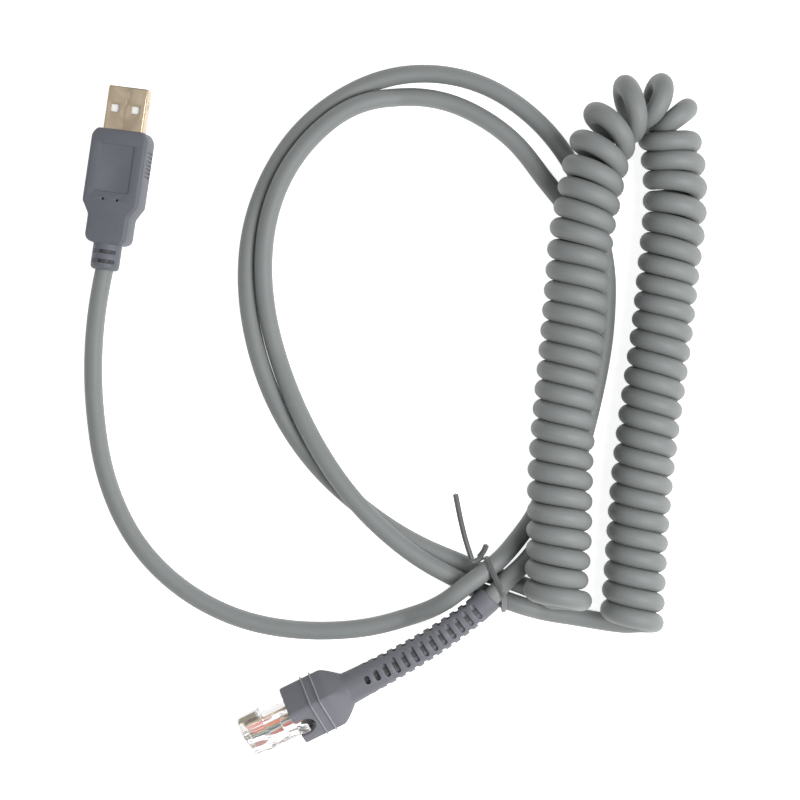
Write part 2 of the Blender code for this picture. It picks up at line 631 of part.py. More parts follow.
# ---- coil pieces --------------------------------------------------------------------------------
def build_coil(turns, coil):
    """The coil in separate pieces: two legs and the bend between them."""
    cuts = list(np.linspace(turns[0], LEFT_TOP, LEFT_PIECES + 1))
    cuts += list(np.linspace(RIGHT_TOP, turns[-1], RIGHT_PIECES + 1))
    names = [f"coil_left_{i + 1}" for i in range(LEFT_PIECES)] + ["coil_bend"]
    names += [f"coil_right_{RIGHT_PIECES - i}" for i in range(RIGHT_PIECES)]
    along = lengths(coil)
    # Inner cuts fall halfway between two samples.
    half = 0.5 / TURN_STEPS
    cuts[1:-1] = [round(c * TURN_STEPS) / TURN_STEPS + half for c in cuts[1:-1]]
    for name, first, last in zip(names, cuts[:-1], cuts[1:]):
        start, end = np.interp([first, last], turns, along)
        start, end = start + END_GAP / 2, end - END_GAP / 2
        count = round((last - first) * TURN_STEPS / MODEL_EVERY)
        inner = np.interp(np.linspace(first, last, count + 1)[1:-1], turns, along)
        inner = inner[(inner > start + COIL_END_CLEAR) & (inner < end - COIL_END_CLEAR)]
        wanted = [[start, start + COIL_END_STEP], inner, [end - COIL_END_STEP, end]]
        tube(name, at_length(coil, np.concatenate(wanted)), CORD_R, CORD)


# ---- USB plug -----------------------------------------------------------------------------------
def usb_frame():
    """The plug's frame, rolled about its length."""
    forward = unit(np.array([*USB_DIRECTION, 0.0]))
    right = np.array([forward[1], -forward[0], 0.0])
    up = np.array([0, 0, 1.0])
    c, s = math.cos(USB_ROLL), math.sin(USB_ROLL)
    return Frame((*USB_END, USB_AXIS_Z), c * right + s * up, forward, -s * right + c * up)


def build_usb_overmould(frame, pivot):
    rings = [frame.ring(y, section(*sizes)) for y, *sizes in USB_STATIONS]
    body = add_mesh("usb_overmould", loft(rings), MOULD, pivot)
    pocket = (SHELL_W + 2 * POCKET_CLEAR, POCKET_L, SHELL_H + 2 * POCKET_CLEAR)
    cut(body, "usb_pocket", block(frame, (0, POCKET_Y, 0), pocket))
    cut(body, "usb_bore", rod(frame(0, -2, 0), frame(0, 14.0, 0), CORD_R + CLEAR))
    channel = rod(frame(0, CHANNEL_FROM, 0), frame(0, CHANNEL_TO, 0), CHANNEL_R)
    cut(body, "usb_channel", channel)

    panel_y = FACE - PANEL_FROM_FACE - PANEL_L / 2
    panels = [((0, panel_y, side * BODY_H / 2), (PANEL_W, PANEL_L, 2 * PANEL_DEEP))
              for side in (-1, 1)]
    grips = [((side * BODY_W / 2, GRIP_FIRST + GRIP_PITCH * i, 0), (2 * GRIP_CUT, GRIP_L, GRIP_H))
             for side in (-1, 1) for i in range(GRIPS)]
    cut(body, "usb_reliefs", blocks(frame, panels + grips))
    slots = [((0, y, side * RELIEF_SLOT_Z), RELIEF_SLOT_SIZE)
             for y in RELIEF_SLOT_Y for side in (-1, 1)]
    cut(body, "usb_slots", blocks(frame, slots))
    for i, x in enumerate((-PIN_HOLE_X, PIN_HOLE_X)):
        pin = rod(frame(x, PIN_HOLE_Y, 3.3), frame(x, PIN_HOLE_Y, 6), PIN_HOLE_R, sides=12)
        cut(body, f"usb_pin_{i}", pin)


def build_usb_shell(frame, pivot):
    """A rectangular metal sleeve with two windows through its wide faces."""
    half_w, half_h = SHELL_W / 2, SHELL_H / 2
    outer = section(half_w, half_h, 0.5, 2)
    tip = section(half_w - SHELL_TAPER, half_h - SHELL_TAPER, 0.4, 2)
    inner = section(half_w - SHELL_WALL, half_h - SHELL_WALL, 0.25, 2)
    stations = ((SHELL_REAR, outer), (TIP - SHELL_TAPER_L, outer), (TIP, tip), (TIP, inner),
                (SHELL_REAR, inner))
    rings = [frame.ring(y, shape) for y, shape in stations]
    shell = add_mesh("usb_shell", loft(rings, closed=True), STEEL, pivot)
    windows = [((side * WINDOW_X, WINDOW_Y, 0), (WINDOW_W, WINDOW_L, 8)) for side in (-1, 1)]
    cut(shell, "usb_windows", blocks(frame, windows))


def build_usb_carrier(frame, pivot):
    data = block(frame, CARRIER_AT, CARRIER_SIZE)
    bevel_edges(add_mesh("usb_contact_carrier", data, WHITE, pivot, smooth=False), 0.15)


def build_usb_contacts(frame, pivot):
    """Four flat contacts under the carrier, each with its wire."""
    for i, x in enumerate(USB_CONTACT_X):
        is_outer = abs(x) > 2
        front = OUTER_CONTACT_END if is_outer else INNER_CONTACT_END
        centre = (x, (USB_CONTACT_REAR + front) / 2, -USB_CONTACT_T / 2)
        data = block(frame, centre, (USB_CONTACT_W, front - USB_CONTACT_REAR, USB_CONTACT_T))
        add_mesh(f"usb_contact_{i + 1}", data, GOLD, pivot, smooth=False)

        bundle_x = 0.85 * (1 if x > 0 else -1)
        bundle_z = 0.8 if is_outer else -0.8
        path = [
            frame(bundle_x, 13.4, bundle_z),
            frame(bundle_x, 18, bundle_z),
            frame(bundle_x * 1.1, 23.2, bundle_z * 0.95),
            frame(x * 0.8, 26.8, -0.4 if is_outer else -0.9),
            frame(x, 29.4, -0.9),
            frame(x, 30.6, -0.9),
        ]
        finish = Finish(colour=USB_WIRE_COLOURS[i])
        tube(f"usb_wire_{i + 1}", smooth_route(path, 2.0), USB_WIRE_R, finish, pivot)


def build_usb_stub(route, frame, pivot):
    """The cord from the flex axis into the plug."""
    outside = at_length(route, np.arange(FLEX_BELOW_COLLAR - FLEX_GAP, 0.4, -1.0))
    stub = np.vstack([outside, [frame(0, y, 0) for y in (0.5, 4, 8, 13.0)]])
    strand("cord_usb_stub", stub, 0.0, lengths(stub)[-1], dome_start=True, pivot=pivot)


def build_usb(route):
    frame = usb_frame()
    pivot = point_at(route, FLEX_BELOW_COLLAR)
    build_usb_overmould(frame, pivot)
    build_usb_shell(frame, pivot)
    build_usb_carrier(frame, pivot)
    build_usb_contacts(frame, pivot)
    build_usb_stub(route, frame, pivot)


def build_usb_cord(route):
    """Two lead pieces that pivot at their far ends from the plug, and the inner loop."""
    start = FLEX_BELOW_COLLAR
    for name, hinge in (("upper", UPPER_HINGE), ("lower", LOWER_HINGE)):
        end = nearest_length(route, hinge)
        strand(f"cord_usb_lead_{name}", route, start + FLEX_GAP, end - FLEX_GAP,
               dome_start=True, dome_end=True, pivot=point_at(route, end))
        start = end
    strand("cord_inner_loop", route, start + FLEX_GAP, lengths(route)[-1] - END_GAP / 2,
           dome_start=True)


# ---- modular plug -------------------------------------------------------------------------------
def boot_frame(route, along):
    """The rolled frame at a length along the boot's axis, and its unrolled right and up."""
    forward = -unit(point_at(route, along + 0.5) - point_at(route, max(along - 0.5, 0)))
    right = unit(np.cross(forward, (0, 0, 1)))
    up = np.cross(right, forward)
    # The latch side is rolled from straight up towards the left, looking forward.
    z = math.cos(BOOT_ROLL) * up - math.sin(BOOT_ROLL) * right
    return Frame(point_at(route, along), np.cross(forward, z), forward, z), right, up


def boot_stations(total):
    """Length behind the rim, half width, half height and corner radius of each boot ring."""
    half_w, half_h = BOOT_W / 2, BOOT_H / 2
    stations = [(0.0, half_w - 0.3, half_h - 0.3, 0.8), (0.35, half_w, half_h, 1.0)]
    for at in FIN_AT:
        fin = (half_w + FIN_PROUD, half_h + FIN_PROUD, 1.4)
        stations += [(at, half_w, half_h, 1.0), (at + FIN_EDGE, *fin), (at + FIN_T, *fin),
                     (at + FIN_T + FIN_EDGE, half_w, half_h, 1.0)]
    stations += [(12.6, half_w, half_h, 1.0), (BOOT_BLOCK, half_w - 0.7, half_h - 0.4, 1.6)]
    relief = [(BOOT_NECK_END, RELIEF_R0 + 0.1)]
    for along in np.linspace(BOOT_NECK_END + 1.5, total - 0.5, RELIEF_RINGS):
        share = (along - BOOT_NECK_END) / (total - BOOT_NECK_END)
        relief.append((along, RELIEF_R0 + (RELIEF_R1 - RELIEF_R0) * share))
    relief.append((total, RELIEF_R1 - 0.35))
    return stations + [(along, r, r, r) for along, r in relief]


def boot_slots(route):
    """Staggered slots in four rows round the strain relief; the first three of a row are short."""
    slots = []
    for row in range(4):
        first = SLOT_FIRST - (SLOT_PITCH / 2 if row % 2 else 0.0)
        for k in range(SLOT_COUNT):
            frame, right, up = boot_frame(route, first + SLOT_PITCH * k)
            out = (up, right, -up, -right)[row]
            across = (right, -up, -right, up)[row]
            width = SLOT_W if k > 2 else SLOT_W * (0.55 + 0.15 * k)
            slot = Frame(frame.origin + out * SLOT_OUT, across, np.cross(out, across), out)
            slots.append((slot, ORIGIN, (width, SLOT_L, SLOT_T)))
    return framed_blocks(slots)


def build_boot(route, frame, pivot, total):
    """A straight block round the plug, then a strain relief that follows the cord."""
    rings = []
    for along, *sizes in boot_stations(total):
        if along <= BOOT_BLOCK:
            rings.append(frame.ring(-along, section(*sizes)))
        else:
            rings.append(boot_frame(route, along)[0].ring(0, section(*sizes)))
    boot = add_mesh("modular_boot", loft(rings), MOULD, pivot)
    cut(boot, "boot_pocket", block(frame, (0, -2.9, 0), (12.3, 8.4, 8.4)))
    cut(boot, "boot_cavity", block(frame, (0, -9.8, 0), (10.4, 7.0, 6.6)))
    bore = at_length(route, np.linspace(12.8, total + 2.5, 24))
    cut(boot, "boot_bore", loft(tube_rings(bore, CORD_R + CLEAR, 16)))
    # A round-ended notch in the latch side, open at the rim.
    arc_y = -(NOTCH_L - NOTCH_W / 2)
    notch = block(frame, (0, NOTCH_Y, 5.2), (NOTCH_W, 2 * (NOTCH_Y - arc_y), 4.0))
    cut(boot, "boot_notch", notch)
    notch_end = rod(frame(0, arc_y, 3.1), frame(0, arc_y, 7.2), NOTCH_W / 2, sides=20)
    cut(boot, "boot_notch_end", notch_end)
    cut(boot, "boot_slots", boot_slots(route))


def way_x(i):
    return (i - (WAYS - 1) / 2) * WAY_PITCH


def build_modular_body(frame, pivot):
    centre = (0, (PLUG_FRONT + PLUG_REAR) / 2, (PLUG_LOW + PLUG_TOP) / 2)
    data = block(frame, centre, (PLUG_W, PLUG_FRONT - PLUG_REAR, PLUG_TOP - PLUG_LOW))
    body = add_mesh("modular_plug_body", data, CLEAR_PLASTIC, pivot, smooth=False)
    bevel_edges(body, 0.25)
    slots = [((way_x(i), 12.2, -3.4), (0.52, 7.8, 3.6)) for i in range(WAYS)]
    cut(body, "plug_slots", blocks(frame, slots))
    cut(body, "plug_cavity", block(frame, (0, 0.2, -0.8), (10.2, 15.4, 3.2)))


def build_modular_contacts(frame, pivot):
    for i in range(WAYS):
        data = block(frame, (way_x(i), 11.6, -2.75), (0.3, 5.0, 1.7))
        add_mesh(f"modular_contact_{i + 1:02d}", data, GOLD, pivot, smooth=False)


def build_latch(frame):
    """A tapering tongue above the plug, with its origin near its front end."""
    rings = []
    for y, z, t, half in LATCH_STATIONS:
        corners = ((half, z + t), (-half, z + t), (-half, z - t), (half, z - t))
        rings.append(frame.ring(y, corners))
    pivot = frame(0, LATCH_PIVOT_Y, LATCH_PIVOT_Z)
    bevel_edges(add_mesh("modular_latch", loft(rings), CLEAR_PLASTIC, pivot, smooth=False), 0.12)


def build_modular_wires(frame, pivot):
    """Wires that fan out from two rows in the boot to one row in the plug."""
    for i in range(WIRES):
        rank = i - (WIRES - 1) / 2
        rear_x, front_x = rank * BUNDLE_PITCH, rank * WAY_PITCH
        row_z = 0.5 if i % 2 == 0 else -0.5
        path = [
            frame(rear_x, -14.0, row_z),
            frame(rear_x * 1.05, -11.5, row_z),
            frame((rear_x + front_x) / 2, -8.0, row_z * 0.6 - 0.3),
            frame(front_x, -4.2, -0.8),
            frame(front_x, 1.5, -0.9),
            frame(front_x, 7.5, -0.9),
        ]
        finish = Finish(colour=MODULAR_WIRE_COLOURS[i])
        tube(f"modular_wire_{i + 1}", smooth_route(path, 2.4), WIRE_D / 2, finish, pivot)


def build_modular(route):
    """The modular plug in its boot, and the cord from it to the coil."""
    total = float(nearest_length(route, BOOT_AXIS[-1]))
    flex = total + FLEX_BELOW_COLLAR
    pivot = point_at(route, flex)
    head = boot_frame(route, 0.5)[0]
    frame = Frame(route[0], head.x, head.y, head.z)
    build_boot(route, frame, pivot, total)
    build_modular_body(frame, pivot)
    build_modular_contacts(frame, pivot)
    build_latch(frame)
    build_modular_wires(frame, pivot)
    strand("cord_modular_stub", route, CORD_IN_BOOT, flex - FLEX_GAP, dome_end=True, pivot=pivot)
    strand("cord_outer_loop", route, flex + FLEX_GAP, lengths(route)[-1] - END_GAP / 2,
           dome_start=True)


# ---- twist tie ----------------------------------------------------------------------------------
def hull(points):
    """Convex hull of 2D points, counter-clockwise."""
    ordered = sorted(set((round(x, 6), round(y, 6)) for x, y in points))

    def turns_left(a, b, c):
        return (b[0] - a[0]) * (c[1] - b[1]) - (b[1] - a[1]) * (c[0] - b[0]) > 0

    def half(items):
        out = []
        for point in items:
            while len(out) > 1 and not turns_left(out[-2], out[-1], point):
                out.pop()
            out.append(point)
        return out[:-1]

    return np.array(half(ordered) + half(ordered[::-1]))


def resample_closed(path, step):
    return resample(np.vstack([path, path[:1]]), step)[:-1]


def tie_band(routes):
    """The closed path of the tie's band, in its upright plane, round every strand it binds."""
    start, along, normal = tie_plane()
    angles = np.linspace(0, 2 * math.pi, 33)[:-1]
    outline = []
    for point in np.vstack(routes):
        across = max(abs((point[:2] - start) @ normal) - TIE_R, 0)
        reach = (point[:2] - start) @ along
        if across < CORD_R and TIE_BINDS[0] < reach < TIE_BINDS[1]:
            r = math.sqrt(CORD_R**2 - across**2) + TIE_R + TIE_GAP
            outline += [(reach + r * math.cos(a), point[2] + r * math.sin(a)) for a in angles]
    path = hull(outline)
    path[:, 1] = np.maximum(path[:, 1], TIE_R + TABLE_GAP)
    path = resample_closed(path, 0.5)
    for _ in range(6):
        path = path + 0.25 * (np.roll(path, 1, axis=0) + np.roll(path, -1, axis=0) - 2 * path)
    path = resample_closed(path, TIE_STEP)
    far = (path[:, 0] - TIE_BEND_AT) / (path[:, 0].max() - TIE_BEND_AT)
    bends = np.clip(far, 0, 1) ** TIE_BEND_POWER
    return np.array([[*(start + along * reach + np.array(TIE_BEND) * bend), z]
                     for (reach, z), bend in zip(path, bends)])


def build_twist():
    """The short twisted neck of the tie, oval in section."""
    start, end = np.array(TWIST_FROM), np.array(TWIST_TO)
    axis = unit(end - start)
    side = unit(np.cross(axis, (0, 0, 1)))
    up = np.cross(side, axis)
    rings = []
    for k in range(TWIST_STEPS + 1):
        share = k / TWIST_STEPS
        c, s = math.cos(TWIST_ANGLE * share), math.sin(TWIST_ANGLE * share)
        wide, thin = TWIST_HALF_W * (c * side + s * up), TWIST_HALF_T * (c * up - s * side)
        rings.append(oval(start + (end - start) * share, wide, thin, TWIST_SIDES, offset=0))
    add_mesh("tie_twist", loft(rings), TIE)


def build_tail(name, control):
    """A free end of the tie, with its wire core standing out of a blind bore."""
    path = smooth_route(control, TAIL_STEP)
    tip, along = path[-1], unit(path[-1] - path[-2])
    bore = np.array([tip - along * CORE_BORE_L, tip - along * CORE_BORE_L / 2, tip])
    rings = tube_rings(path, TIE_R, TAIL_SIDES) + tube_rings(bore, CORE_BORE, TAIL_SIDES)[::-1]
    add_mesh(f"tie_tail_{name}", loft(rings), TIE, pivot=path[0])
    core = np.vstack([bore[:1] + along * CORE_BORE_GAP, bore[1:], [tip + along * CORE_PROUD]])
    tube(f"tie_core_{name}", core, CORE_R, CORE, pivot=path[0])


def build_tie(routes):
    tube("tie_band", tie_band(routes), TIE_R, TIE, cyclic=True)
    build_twist()
    for name, control in TAILS.items():
        build_tail(name, control)


def main():
    turns, coil = coil_centreline()
    usb, modular = cord_routes(coil)
    build_coil(turns, coil)
    build_usb(usb)
    build_usb_cord(usb)
    build_modular(modular)
    build_tie([usb, modular])


main()
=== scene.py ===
"""The look of a coiled scanner cable lying on a table at z = 0. The USB-A plug is at -X and points
to +Y. The cord runs from it through a double loop, a coil folded into a U at +X and back to a
modular plug in a slotted boot at -Y; a twist tie binds the strands. Lengths are millimetres until
a mesh is made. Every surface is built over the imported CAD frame, from the same dimensions."""

import math

import bmesh
import bpy
import numpy as np
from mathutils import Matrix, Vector


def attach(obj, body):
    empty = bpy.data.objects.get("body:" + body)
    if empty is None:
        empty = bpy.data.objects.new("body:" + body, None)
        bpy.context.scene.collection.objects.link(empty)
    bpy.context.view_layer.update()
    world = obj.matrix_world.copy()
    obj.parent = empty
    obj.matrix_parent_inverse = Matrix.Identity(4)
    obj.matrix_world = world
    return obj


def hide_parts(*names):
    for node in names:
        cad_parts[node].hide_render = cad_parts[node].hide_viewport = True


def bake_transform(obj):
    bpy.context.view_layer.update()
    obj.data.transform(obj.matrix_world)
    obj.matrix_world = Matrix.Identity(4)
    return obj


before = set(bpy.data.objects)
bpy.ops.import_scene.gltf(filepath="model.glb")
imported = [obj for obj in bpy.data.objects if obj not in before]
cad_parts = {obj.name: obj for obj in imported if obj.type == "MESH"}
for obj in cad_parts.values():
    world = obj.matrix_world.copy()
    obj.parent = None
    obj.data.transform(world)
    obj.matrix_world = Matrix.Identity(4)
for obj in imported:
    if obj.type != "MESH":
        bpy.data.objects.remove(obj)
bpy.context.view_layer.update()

MM = 0.001
STEP = 1.15  # spacing of the cord's cross-sections
CENTRE = np.array((0.718, -1.218, -0.02))  # shift that centres the model's box and stands it on z = 0

# ---- cord -------------------------------------------------------------------------------------
CORD_D = 5.3  # jacket outside diameter
CORD_R = CORD_D / 2
CLEAR = 0.2  # least gap between two strands
TABLE_GAP = 0.02  # lowest strand above the table

# ---- coil -------------------------------------------------------------------------------------
# turn number, axis x, y, z, centreline radius and lean in degrees; a whole number is an outer side
COIL_AXIS = (
    (-1.75, 46.2, -54.1, 17.0, 9.90, 0),
    (-1.5, 46.25, -53.4, 17.0, 7.00, 0),
    (-1.25, 46.2, -51.5, 17.0, 6.65, 0),
    (-1, 46.05, -49.4, 16.9, 6.60, 0),
    (0, 46.2, -44.0, 16.9, 6.55, 0),
    (5, 47.2, -16.2, 16.4, 6.55, 0),
    (10, 49.6, 11.9, 16.0, 6.55, 0),
    (15, 52.3, 40.5, 15.8, 6.55, 0),
    (17, 53.5, 52.2, 15.8, 6.55, 0),
    (19, 55.8, 63.9, 15.6, 6.55, 2),
    (21, 59.4, 75.9, 14.8, 6.55, 11),
    (22, 63.5, 83.1, 14.1, 6.50, 16),
    (23, 68.9, 87.6, 13.3, 6.25, 18),
    (24, 74.2, 87.3, 12.4, 5.85, 17),
    (25, 77.7, 85.6, 11.6, 5.95, 8),
    (26, 79.2, 79.1, 10.7, 6.25, -4),
    (28, 80.7, 64.6, 9.5, 6.35, -6),
    (31, 79.35, 45.8, 9.4, 6.35, 0),
    (35, 76.9, 23.75, 9.4, 6.35, 0),
    (38, 74.6, 7.2, 9.4, 6.35, 0),
    (43, 71.1, -20.5, 9.4, 6.35, 0),
    (48, 69.0, -48.4, 9.4, 6.35, 0),
    (50.25, 68.1, -61.4, 9.4, 6.50, 0),
)
TURN_STEPS = 24  # samples per turn of the centreline
RELAXED = ((-1.75, 8.0), (17.0, 31.0))  # turns that are moved apart where they are crowded
RELAX_GAP = 0.16  # gap the relaxing aims for
LEFT_TOP, RIGHT_TOP = 20.0, 27.0  # the turns between these ride on the bend
COIL_SWELL = 0.10  # added to the cord's radius towards the coil

# ---- cord routes in plan ----------------------------------------------------------------------
USB_DIRECTION = (0.1444, 0.9895)
USB_LEAD = (
    (-84.4, 41.6), (-86.1, 32.9), (-87.6, 21.4), (-88.0, 9.7), (-87.2, -1.9), (-85.4, -13.6),
    (-81.8, -25.3), (-75.8, -36.8), (-65.6, -48.2), (-54.6, -55.7), (-42.6, -60.6),
    (-33.6, -62.5), (-24.8, -63.3),
)
USB_END = USB_LEAD[0]  # rear end of the plug's collar
LEAD_HINGES = (USB_LEAD[6], USB_LEAD[-1])  # flex axes of the lead, from the plug on
USB_JOIN = (
    (-16.1, -63.2), (-7.3, -62.2), (1.5, -60.0), (13.4, -54.8), (19.8, -50.0), (25.3, -45.9),
    (30.2, -42.1), (35.2, -36.9), (40.0, -30.6), (43.0, -24.3), (46.0, -16.5), (48.5, -7.8),
    (50.8, 1.0), (53.3, 9.7), (54.8, 18.5), (55.6, 27.2),
)
INNER_LOOP = (
    (55.8, 36.0), (55.0, 44.1), (53.3, 52.0), (50.7, 58.7), (47.2, 63.7), (43.7, 68.0),
    (36.4, 77.4), (24.8, 86.5), (16.1, 90.4), (7.3, 92.1), (-3.5, 91.5), (-12.5, 88.7),
    (-21.4, 82.6), (-32.4, 68.3), (-37.4, 52.8), (-38.2, 38.8), (-35.5, 21.3), (-29.4, 3.8),
    (-18.8, -15.7), (-10.5, -26.5), (-0.6, -36.1), (11.3, -44.5), (15.4, -46.7), (20.6, -49.6),
    (25.8, -52.1), (31.9, -54.2), (42.2, -57.5), (51.3, -59.1), (59.7, -60.5),
)
BOOT_AXIS = (
    (-29.6, -87.3), (-17.3, -81.2), (-7.1, -75.9), (1.7, -71.1), (10.1, -66.1), (18.35, -60.45),
    (23.1, -56.7), (27.3, -53.0),
)
MODULAR_JOIN = (
    (30.6, -49.6), (33.5, -46.7), (36.4, -44.2), (40.0, -40.5), (44.2, -35.1), (48.0, -28.2),
    (51.0, -20.9), (53.6, -12.1), (55.9, -3.4), (58.0, 5.4), (59.7, 13.8), (61.0, 22.6),
    (61.7, 32.5),
)
OUTER_LOOP = (
    (61.7, 38.9), (60.4, 48.5), (57.7, 58.4), (53.9, 67.7), (49.8, 75.0), (46.1, 80.1),
    (37.1, 88.9), (25.0, 95.9), (11.6, 98.9), (1.5, 98.5), (-4.2, 97.2), (-14.3, 92.8),
    (-23.9, 85.9), (-30.1, 79.3), (-35.8, 70.5), (-42.0, 53.4), (-43.3, 38.9), (-41.1, 21.4),
    (-34.7, 2.9), (-21.1, -17.1), (-10.6, -26.7), (0.8, -34.8), (13.4, -41.2), (17.8, -43.0),
    (23.2, -45.3), (27.5, -46.8), (31.9, -48.1), (36.2, -49.6), (41.0, -51.6),
)
ROUTE_STEP = 1.0  # sample spacing of a route
SLOPE = 0.6  # steepest rise of a strand that climbs over another
SMOOTH = 5.0  # length over which a climb is eased
RISE_LENGTH = 17.0  # length over which the outer loop's tail rises to the coil's foot
INNER_RISE = 8.0  # the same for the inner loop's tail
USB_RISE = 34.0  # length over which the lead leaves the USB plug's height
FLEX_BELOW_COLLAR = 3.5  # a plug's flex axis, behind the end of its strain relief

# ---- USB plug, in its own frame: +Y towards the tip, 0 at the collar's rear end ------------------
USB_ROLL = math.radians(10.0)
USB_AXIS_Z = 5.75
COLLAR_END, SHOULDER, MAIN, FACE, TIP = 7.5, 15.8, 19.1, 40.6, 53.3
BODY_W, BODY_H = 17.0, 8.9
NECK_W, NECK_H = 12.6, 8.9
COLLAR_R = 4.2
SHELL_W, SHELL_H, SHELL_WALL, SHELL_REAR = 12.0, 4.5, 0.3, 29.5
WINDOW_W, WINDOW_L, WINDOW_X, WINDOW_Y = 2.5, 2.2, 3.1, 46.8
PANEL_W, PANEL_L, PANEL_DEEP, PANEL_FROM_FACE = 10.3, 13.9, 0.3, 4.4
PIN_HOLE_R, PIN_HOLE_X, PIN_HOLE_Y = 0.4, 2.15, 20.2
GRIPS, GRIP_PITCH, GRIP_FIRST, GRIP_CUT = 7, 1.15, 28.2, 0.3
RELIEF_SLOTS = (2.4, 5.2)

# ---- modular plug, in its own frame: +Y towards the front, 0 at the boot's rim, latch on +Z --------
BOOT_ROLL = math.radians(45.0)
BOOT_Z, BOOT_END_Z = 9.6, 11.2
BOOT_W, BOOT_H = 15.0, 11.2
STRAIGHT_END, TAPER_START, NECK_END = 12.5, 12.9, 17.5  # distances behind the rim
FIN_AT, FIN_T, FIN_PROUD = (6.7, 9.5), 0.4, 0.6
RELIEF_R0, RELIEF_R1 = 4.7, 3.75  # strain relief's radius at the neck and at its end
SLOT_FIRST, SLOT_PITCH, SLOT_COUNT, SLOT_L, SLOT_W = 24.5, 3.07, 13, 1.5, 4.8
PLUG_W, PLUG_FRONT, PLUG_REAR, PLUG_LOW, PLUG_TOP = 11.7, 14.8, -6.7, -3.9, 3.0
WAYS, WAY_PITCH, WIRES = 10, 1.02, 8
NOTCH_W, NOTCH_L = 7.2, 5.6
STUB_START = 14.6  # the cord ends this far behind the boot's rim

# ---- twist tie ----------------------------------------------------------------------------------
TIE_R = 0.775  # half the tie's width
TIE_FROM, TIE_TO = (25.6, -40.3), (32.3, -54.7)
TIE_MARGIN = 6.0  # strands this far before TIE_FROM still count as bound
BAND_REACH = 24.0  # strands up to here along the tie are bound
BAND_HALF, BAND_GAP = 0.50, 0.42  # least height above the table's gap; distance from the strands
TIE_BEND_AT, TIE_BEND = 12.0, (-2.4, 1.0)  # the band's far end lies along the lowest strand
TWIST_POINTS = ((24.5, -41.8, 9.9), (22.5, -42.8, 10.2))
TIE_TAILS = {
    "long": ((22.0, -41.8, 11.4), (20.3, -36.5, 12.5), (18.7, -30.2, 15.0), (17.2, -22.9, 18.0)),
    "short": ((24.0, -41.3, 12.2), (25.2, -39.7, 13.6), (26.1, -37.6, 14.9)),
}

# ---- studio, in metres unless said otherwise ------------------------------------------------------
FLOOR_HALF, FLOOR_CELLS = 1.6, 16
WORLD_STRENGTH = 0.37
# light: place, diameter, power in watts; both point at the origin
LIGHTS = {"key": ((0.46, -0.16, 0.72), 0.60, 9.1), "fill": ((-0.50, 0.30, 0.90), 0.8, 1.1)}
CAMERA_XY = (1.4, 3.9)  # mm, before the model's shift
CAMERA_HEIGHT = 0.650
SENSOR_WIDTH, LENS = 36.0, 99.9225  # mm


# ---- curves ---------------------------------------------------------------------------------------
def spline_at(knots, values, places):
    """Natural cubic spline through rows of values at the knots, read at the given places."""
    knots, rows, places = (np.asarray(v, float) for v in (knots, values, places))
    count, gaps = len(knots), np.diff(knots)
    matrix, rhs = np.eye(count), np.zeros((count, rows.shape[1]))
    for i in range(1, count - 1):
        before, after = gaps[i - 1], gaps[i]
        matrix[i, i - 1 : i + 2] = before, 2 * (before + after), after
        rhs[i] = 6 * ((rows[i + 1] - rows[i]) / after - (rows[i] - rows[i - 1]) / before)
    second = np.linalg.solve(matrix, rhs)
    k = np.clip(np.searchsorted(knots, places, side="right") - 1, 0, count - 2)
    right = ((places - knots[k]) / gaps[k])[:, None]
    left = 1 - right
    bend = (left**3 - left) * second[k] + (right**3 - right) * second[k + 1]
    return left * rows[k] + right * rows[k + 1] + bend * (gaps[k] ** 2)[:, None] / 6


def lengths(points):
    """Length along a polyline at each of its points."""
    steps = np.linalg.norm(np.diff(points, axis=0), axis=1)
    return np.concatenate([[0.0], np.cumsum(steps)])


def at_length(points, places):
    """Points at the given lengths along a polyline."""
    along = lengths(points)
    return np.stack([np.interp(places, along, column) for column in points.T], axis=1)


def resample(points, step):
    total = lengths(points)[-1]
    return at_length(points, np.linspace(0, total, max(2, round(total / step) + 1)))


def smooth_route(control, step):
    """A spline through control points, sampled at an even step."""
    control = np.asarray(control, float)
    along = lengths(control)
    fine = np.linspace(0, along[-1], int(along[-1] / (step / 4)) + 2)
    return resample(spline_at(along, control, fine), step)


def nearest(points, target):
    """Index of the point nearest to a target."""
    return int(np.argmin(np.linalg.norm(points - np.asarray(target), axis=1)))


def nearest_length(points, xy):
    return lengths(points)[nearest(points[:, :2], xy)]


def unit(vector):
    vector = np.asarray(vector, float)
    return vector / np.linalg.norm(vector, axis=-1, keepdims=True)


def smoothstep(value, start=0.0, end=1.0):
    """0 before start, 1 after end, eased between."""
    part = np.clip((value - start) / (end - start), 0, 1)
    return part * part * (3 - 2 * part)


def hermite(points, step):
    """The polyline as a smooth curve, read at an even step."""
    along = lengths(points)
    places = np.linspace(0, along[-1], max(2, round(along[-1] / step) + 1))
    slope = np.gradient(points, along, axis=0)
    k = np.clip(np.searchsorted(along, places, side="right") - 1, 0, len(points) - 2)
    gap = (along[k + 1] - along[k])[:, None]
    part = (places - along[k])[:, None] / gap
    return (
        (2 * part**3 - 3 * part**2 + 1) * points[k]
        + (part**3 - 2 * part**2 + part) * gap * slope[k]
        + (-2 * part**3 + 3 * part**2) * points[k + 1]
        + (part**3 - part**2) * gap * slope[k + 1]
    )


def carried_frames(points):
    """Side and up vectors carried along a curve without twist."""
    tangent = unit(np.gradient(points, axis=0))
    side = np.zeros_like(points)
    side[0] = unit(np.cross(tangent[0], (0.0, 0.0, 1.0)))
    for i in range(1, len(points)):
        carried = side[i - 1] - np.dot(side[i - 1], tangent[i]) * tangent[i]
        side[i] = carried / np.linalg.norm(carried)
    return side, np.cross(tangent, side)


